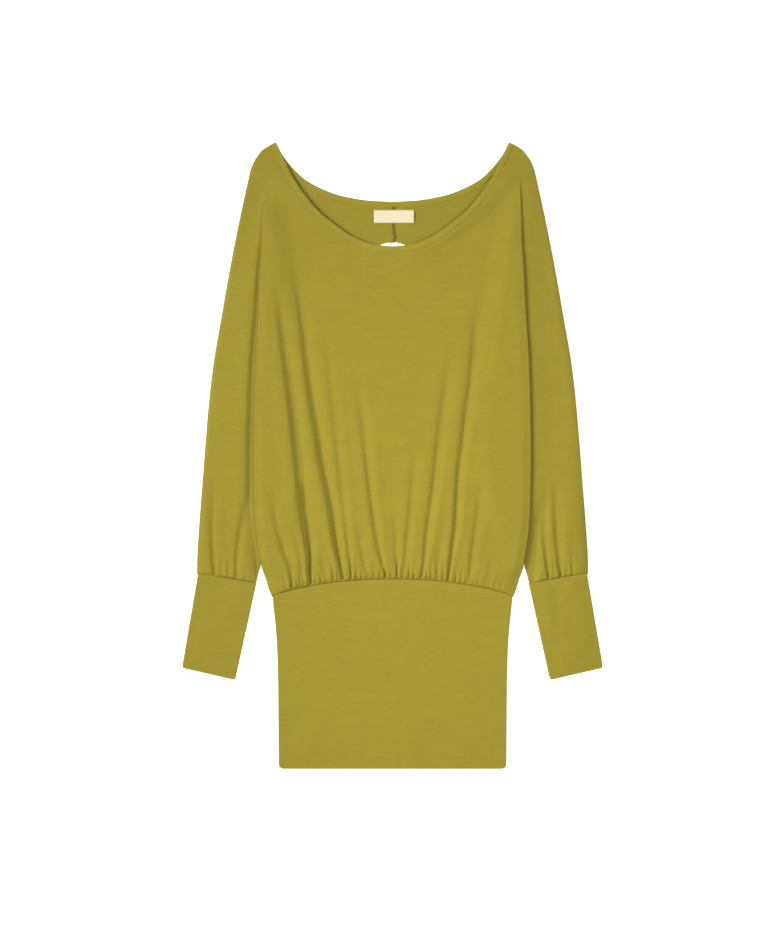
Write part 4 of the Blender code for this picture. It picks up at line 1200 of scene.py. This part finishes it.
def main():
    makeStudio()
    print("studio made")
    front = makeFront(jerseyMaterial("front jersey"))
    print("front made")
    # The back panels are the same jersey painted 4% darker: painted shade for the shade that the
    # front's raised neck edge casts on the back
    backLeft = makeBack(-1, "back_left_panel", jerseyMaterial("back left jersey in painted shade", 0.96))
    backRight = makeBack(1, "back_right_panel", jerseyMaterial("back right jersey in painted shade", 0.96))
    print("back made")
    bandBack = makeBand("back_band_cloth", band["backZ"], False, jerseyMaterial("back band jersey"))
    bandFront = makeBand("front_band_cloth", band["frontZ"], True, jerseyMaterial("front band jersey"))
    cuffLeft = makeCuff(-1, "left_cuff_cloth", jerseyMaterial("left cuff jersey", 1.0, -0.22))
    cuffRight = makeCuff(1, "right_cuff_cloth", jerseyMaterial("right cuff jersey", 1.0, 0.22))
    print("band and cuffs made")
    # The neck strips are the same jersey painted 3% and 5% lighter: a painted highlight for the light
    # that their raised, rounded strips catch
    backBinding = makeNeckBinding("back_neck_strip", backNeck, lambda x: binding["backZ"],
                                  jerseyMaterial("back binding jersey with painted highlight", 1.03))
    frontBinding = makeNeckBinding("front_neck_strip", frontNeck, frontNeckZ,
                                   jerseyMaterial("front binding jersey with painted highlight", 1.05))
    keyhole = makeKeyholeBinding(jerseyMaterial("keyhole binding jersey"))
    labelPiece = makeLabel(labelMaterial())
    wide, tall = label["size"]
    cx, cy = label["centre"]
    cream = threadMaterial("label thread", (0.62, 0.52, 0.22))
    stitches = []
    for name, edge in (("label_stitches_top", 0.5), ("label_stitches_low", -0.5)):
        y = cy + edge * (tall - 2 * label["stitchInset"])
        line = [(cx + end * (wide - 0.002), y, label["z"] + 0.0003) for end in (-0.5, 0.5)]
        stitches.append(makeStitches(name, line, cream, stitching["label"]))
    # The seam's edge is the same jersey painted 20% darker: painted shade for the shadowed dark line
    # along the seam
    seam = makeCentreSeam(jerseyMaterial("centre seam jersey in painted shade", 0.8))
    y = np.linspace(*centreSeam["stitched"], 40)
    x, z = centreSeamAt(y)
    z = z + centreSeam["thick"] / 2 + centreSeam["stitchLift"]
    seamLine = grid(x, y, z).tolist()
    olive = threadMaterial("seam thread", (0.13, 0.125, 0.01))
    seamStitches = makeStitches("centre_seam_stitches", seamLine, olive, stitching["seam"])
    print("bindings, label and stitches made")
    dress(front, "front")
    carry([seam, seamStitches])
    dress(backLeft, "back_left")
    dress(backRight, "back_right")
    dress(bandBack, "hip_band_back")
    dress(bandFront, "hip_band_front")
    dress(cuffLeft, "cuff_left")
    dress(cuffRight, "cuff_right")
    dress(backBinding, "neck_binding_back")
    dress(frontBinding, "neck_binding_front")
    dress(keyhole, "keyhole_binding")
    carry(stitches)
    dress(labelPiece, "label")


main()
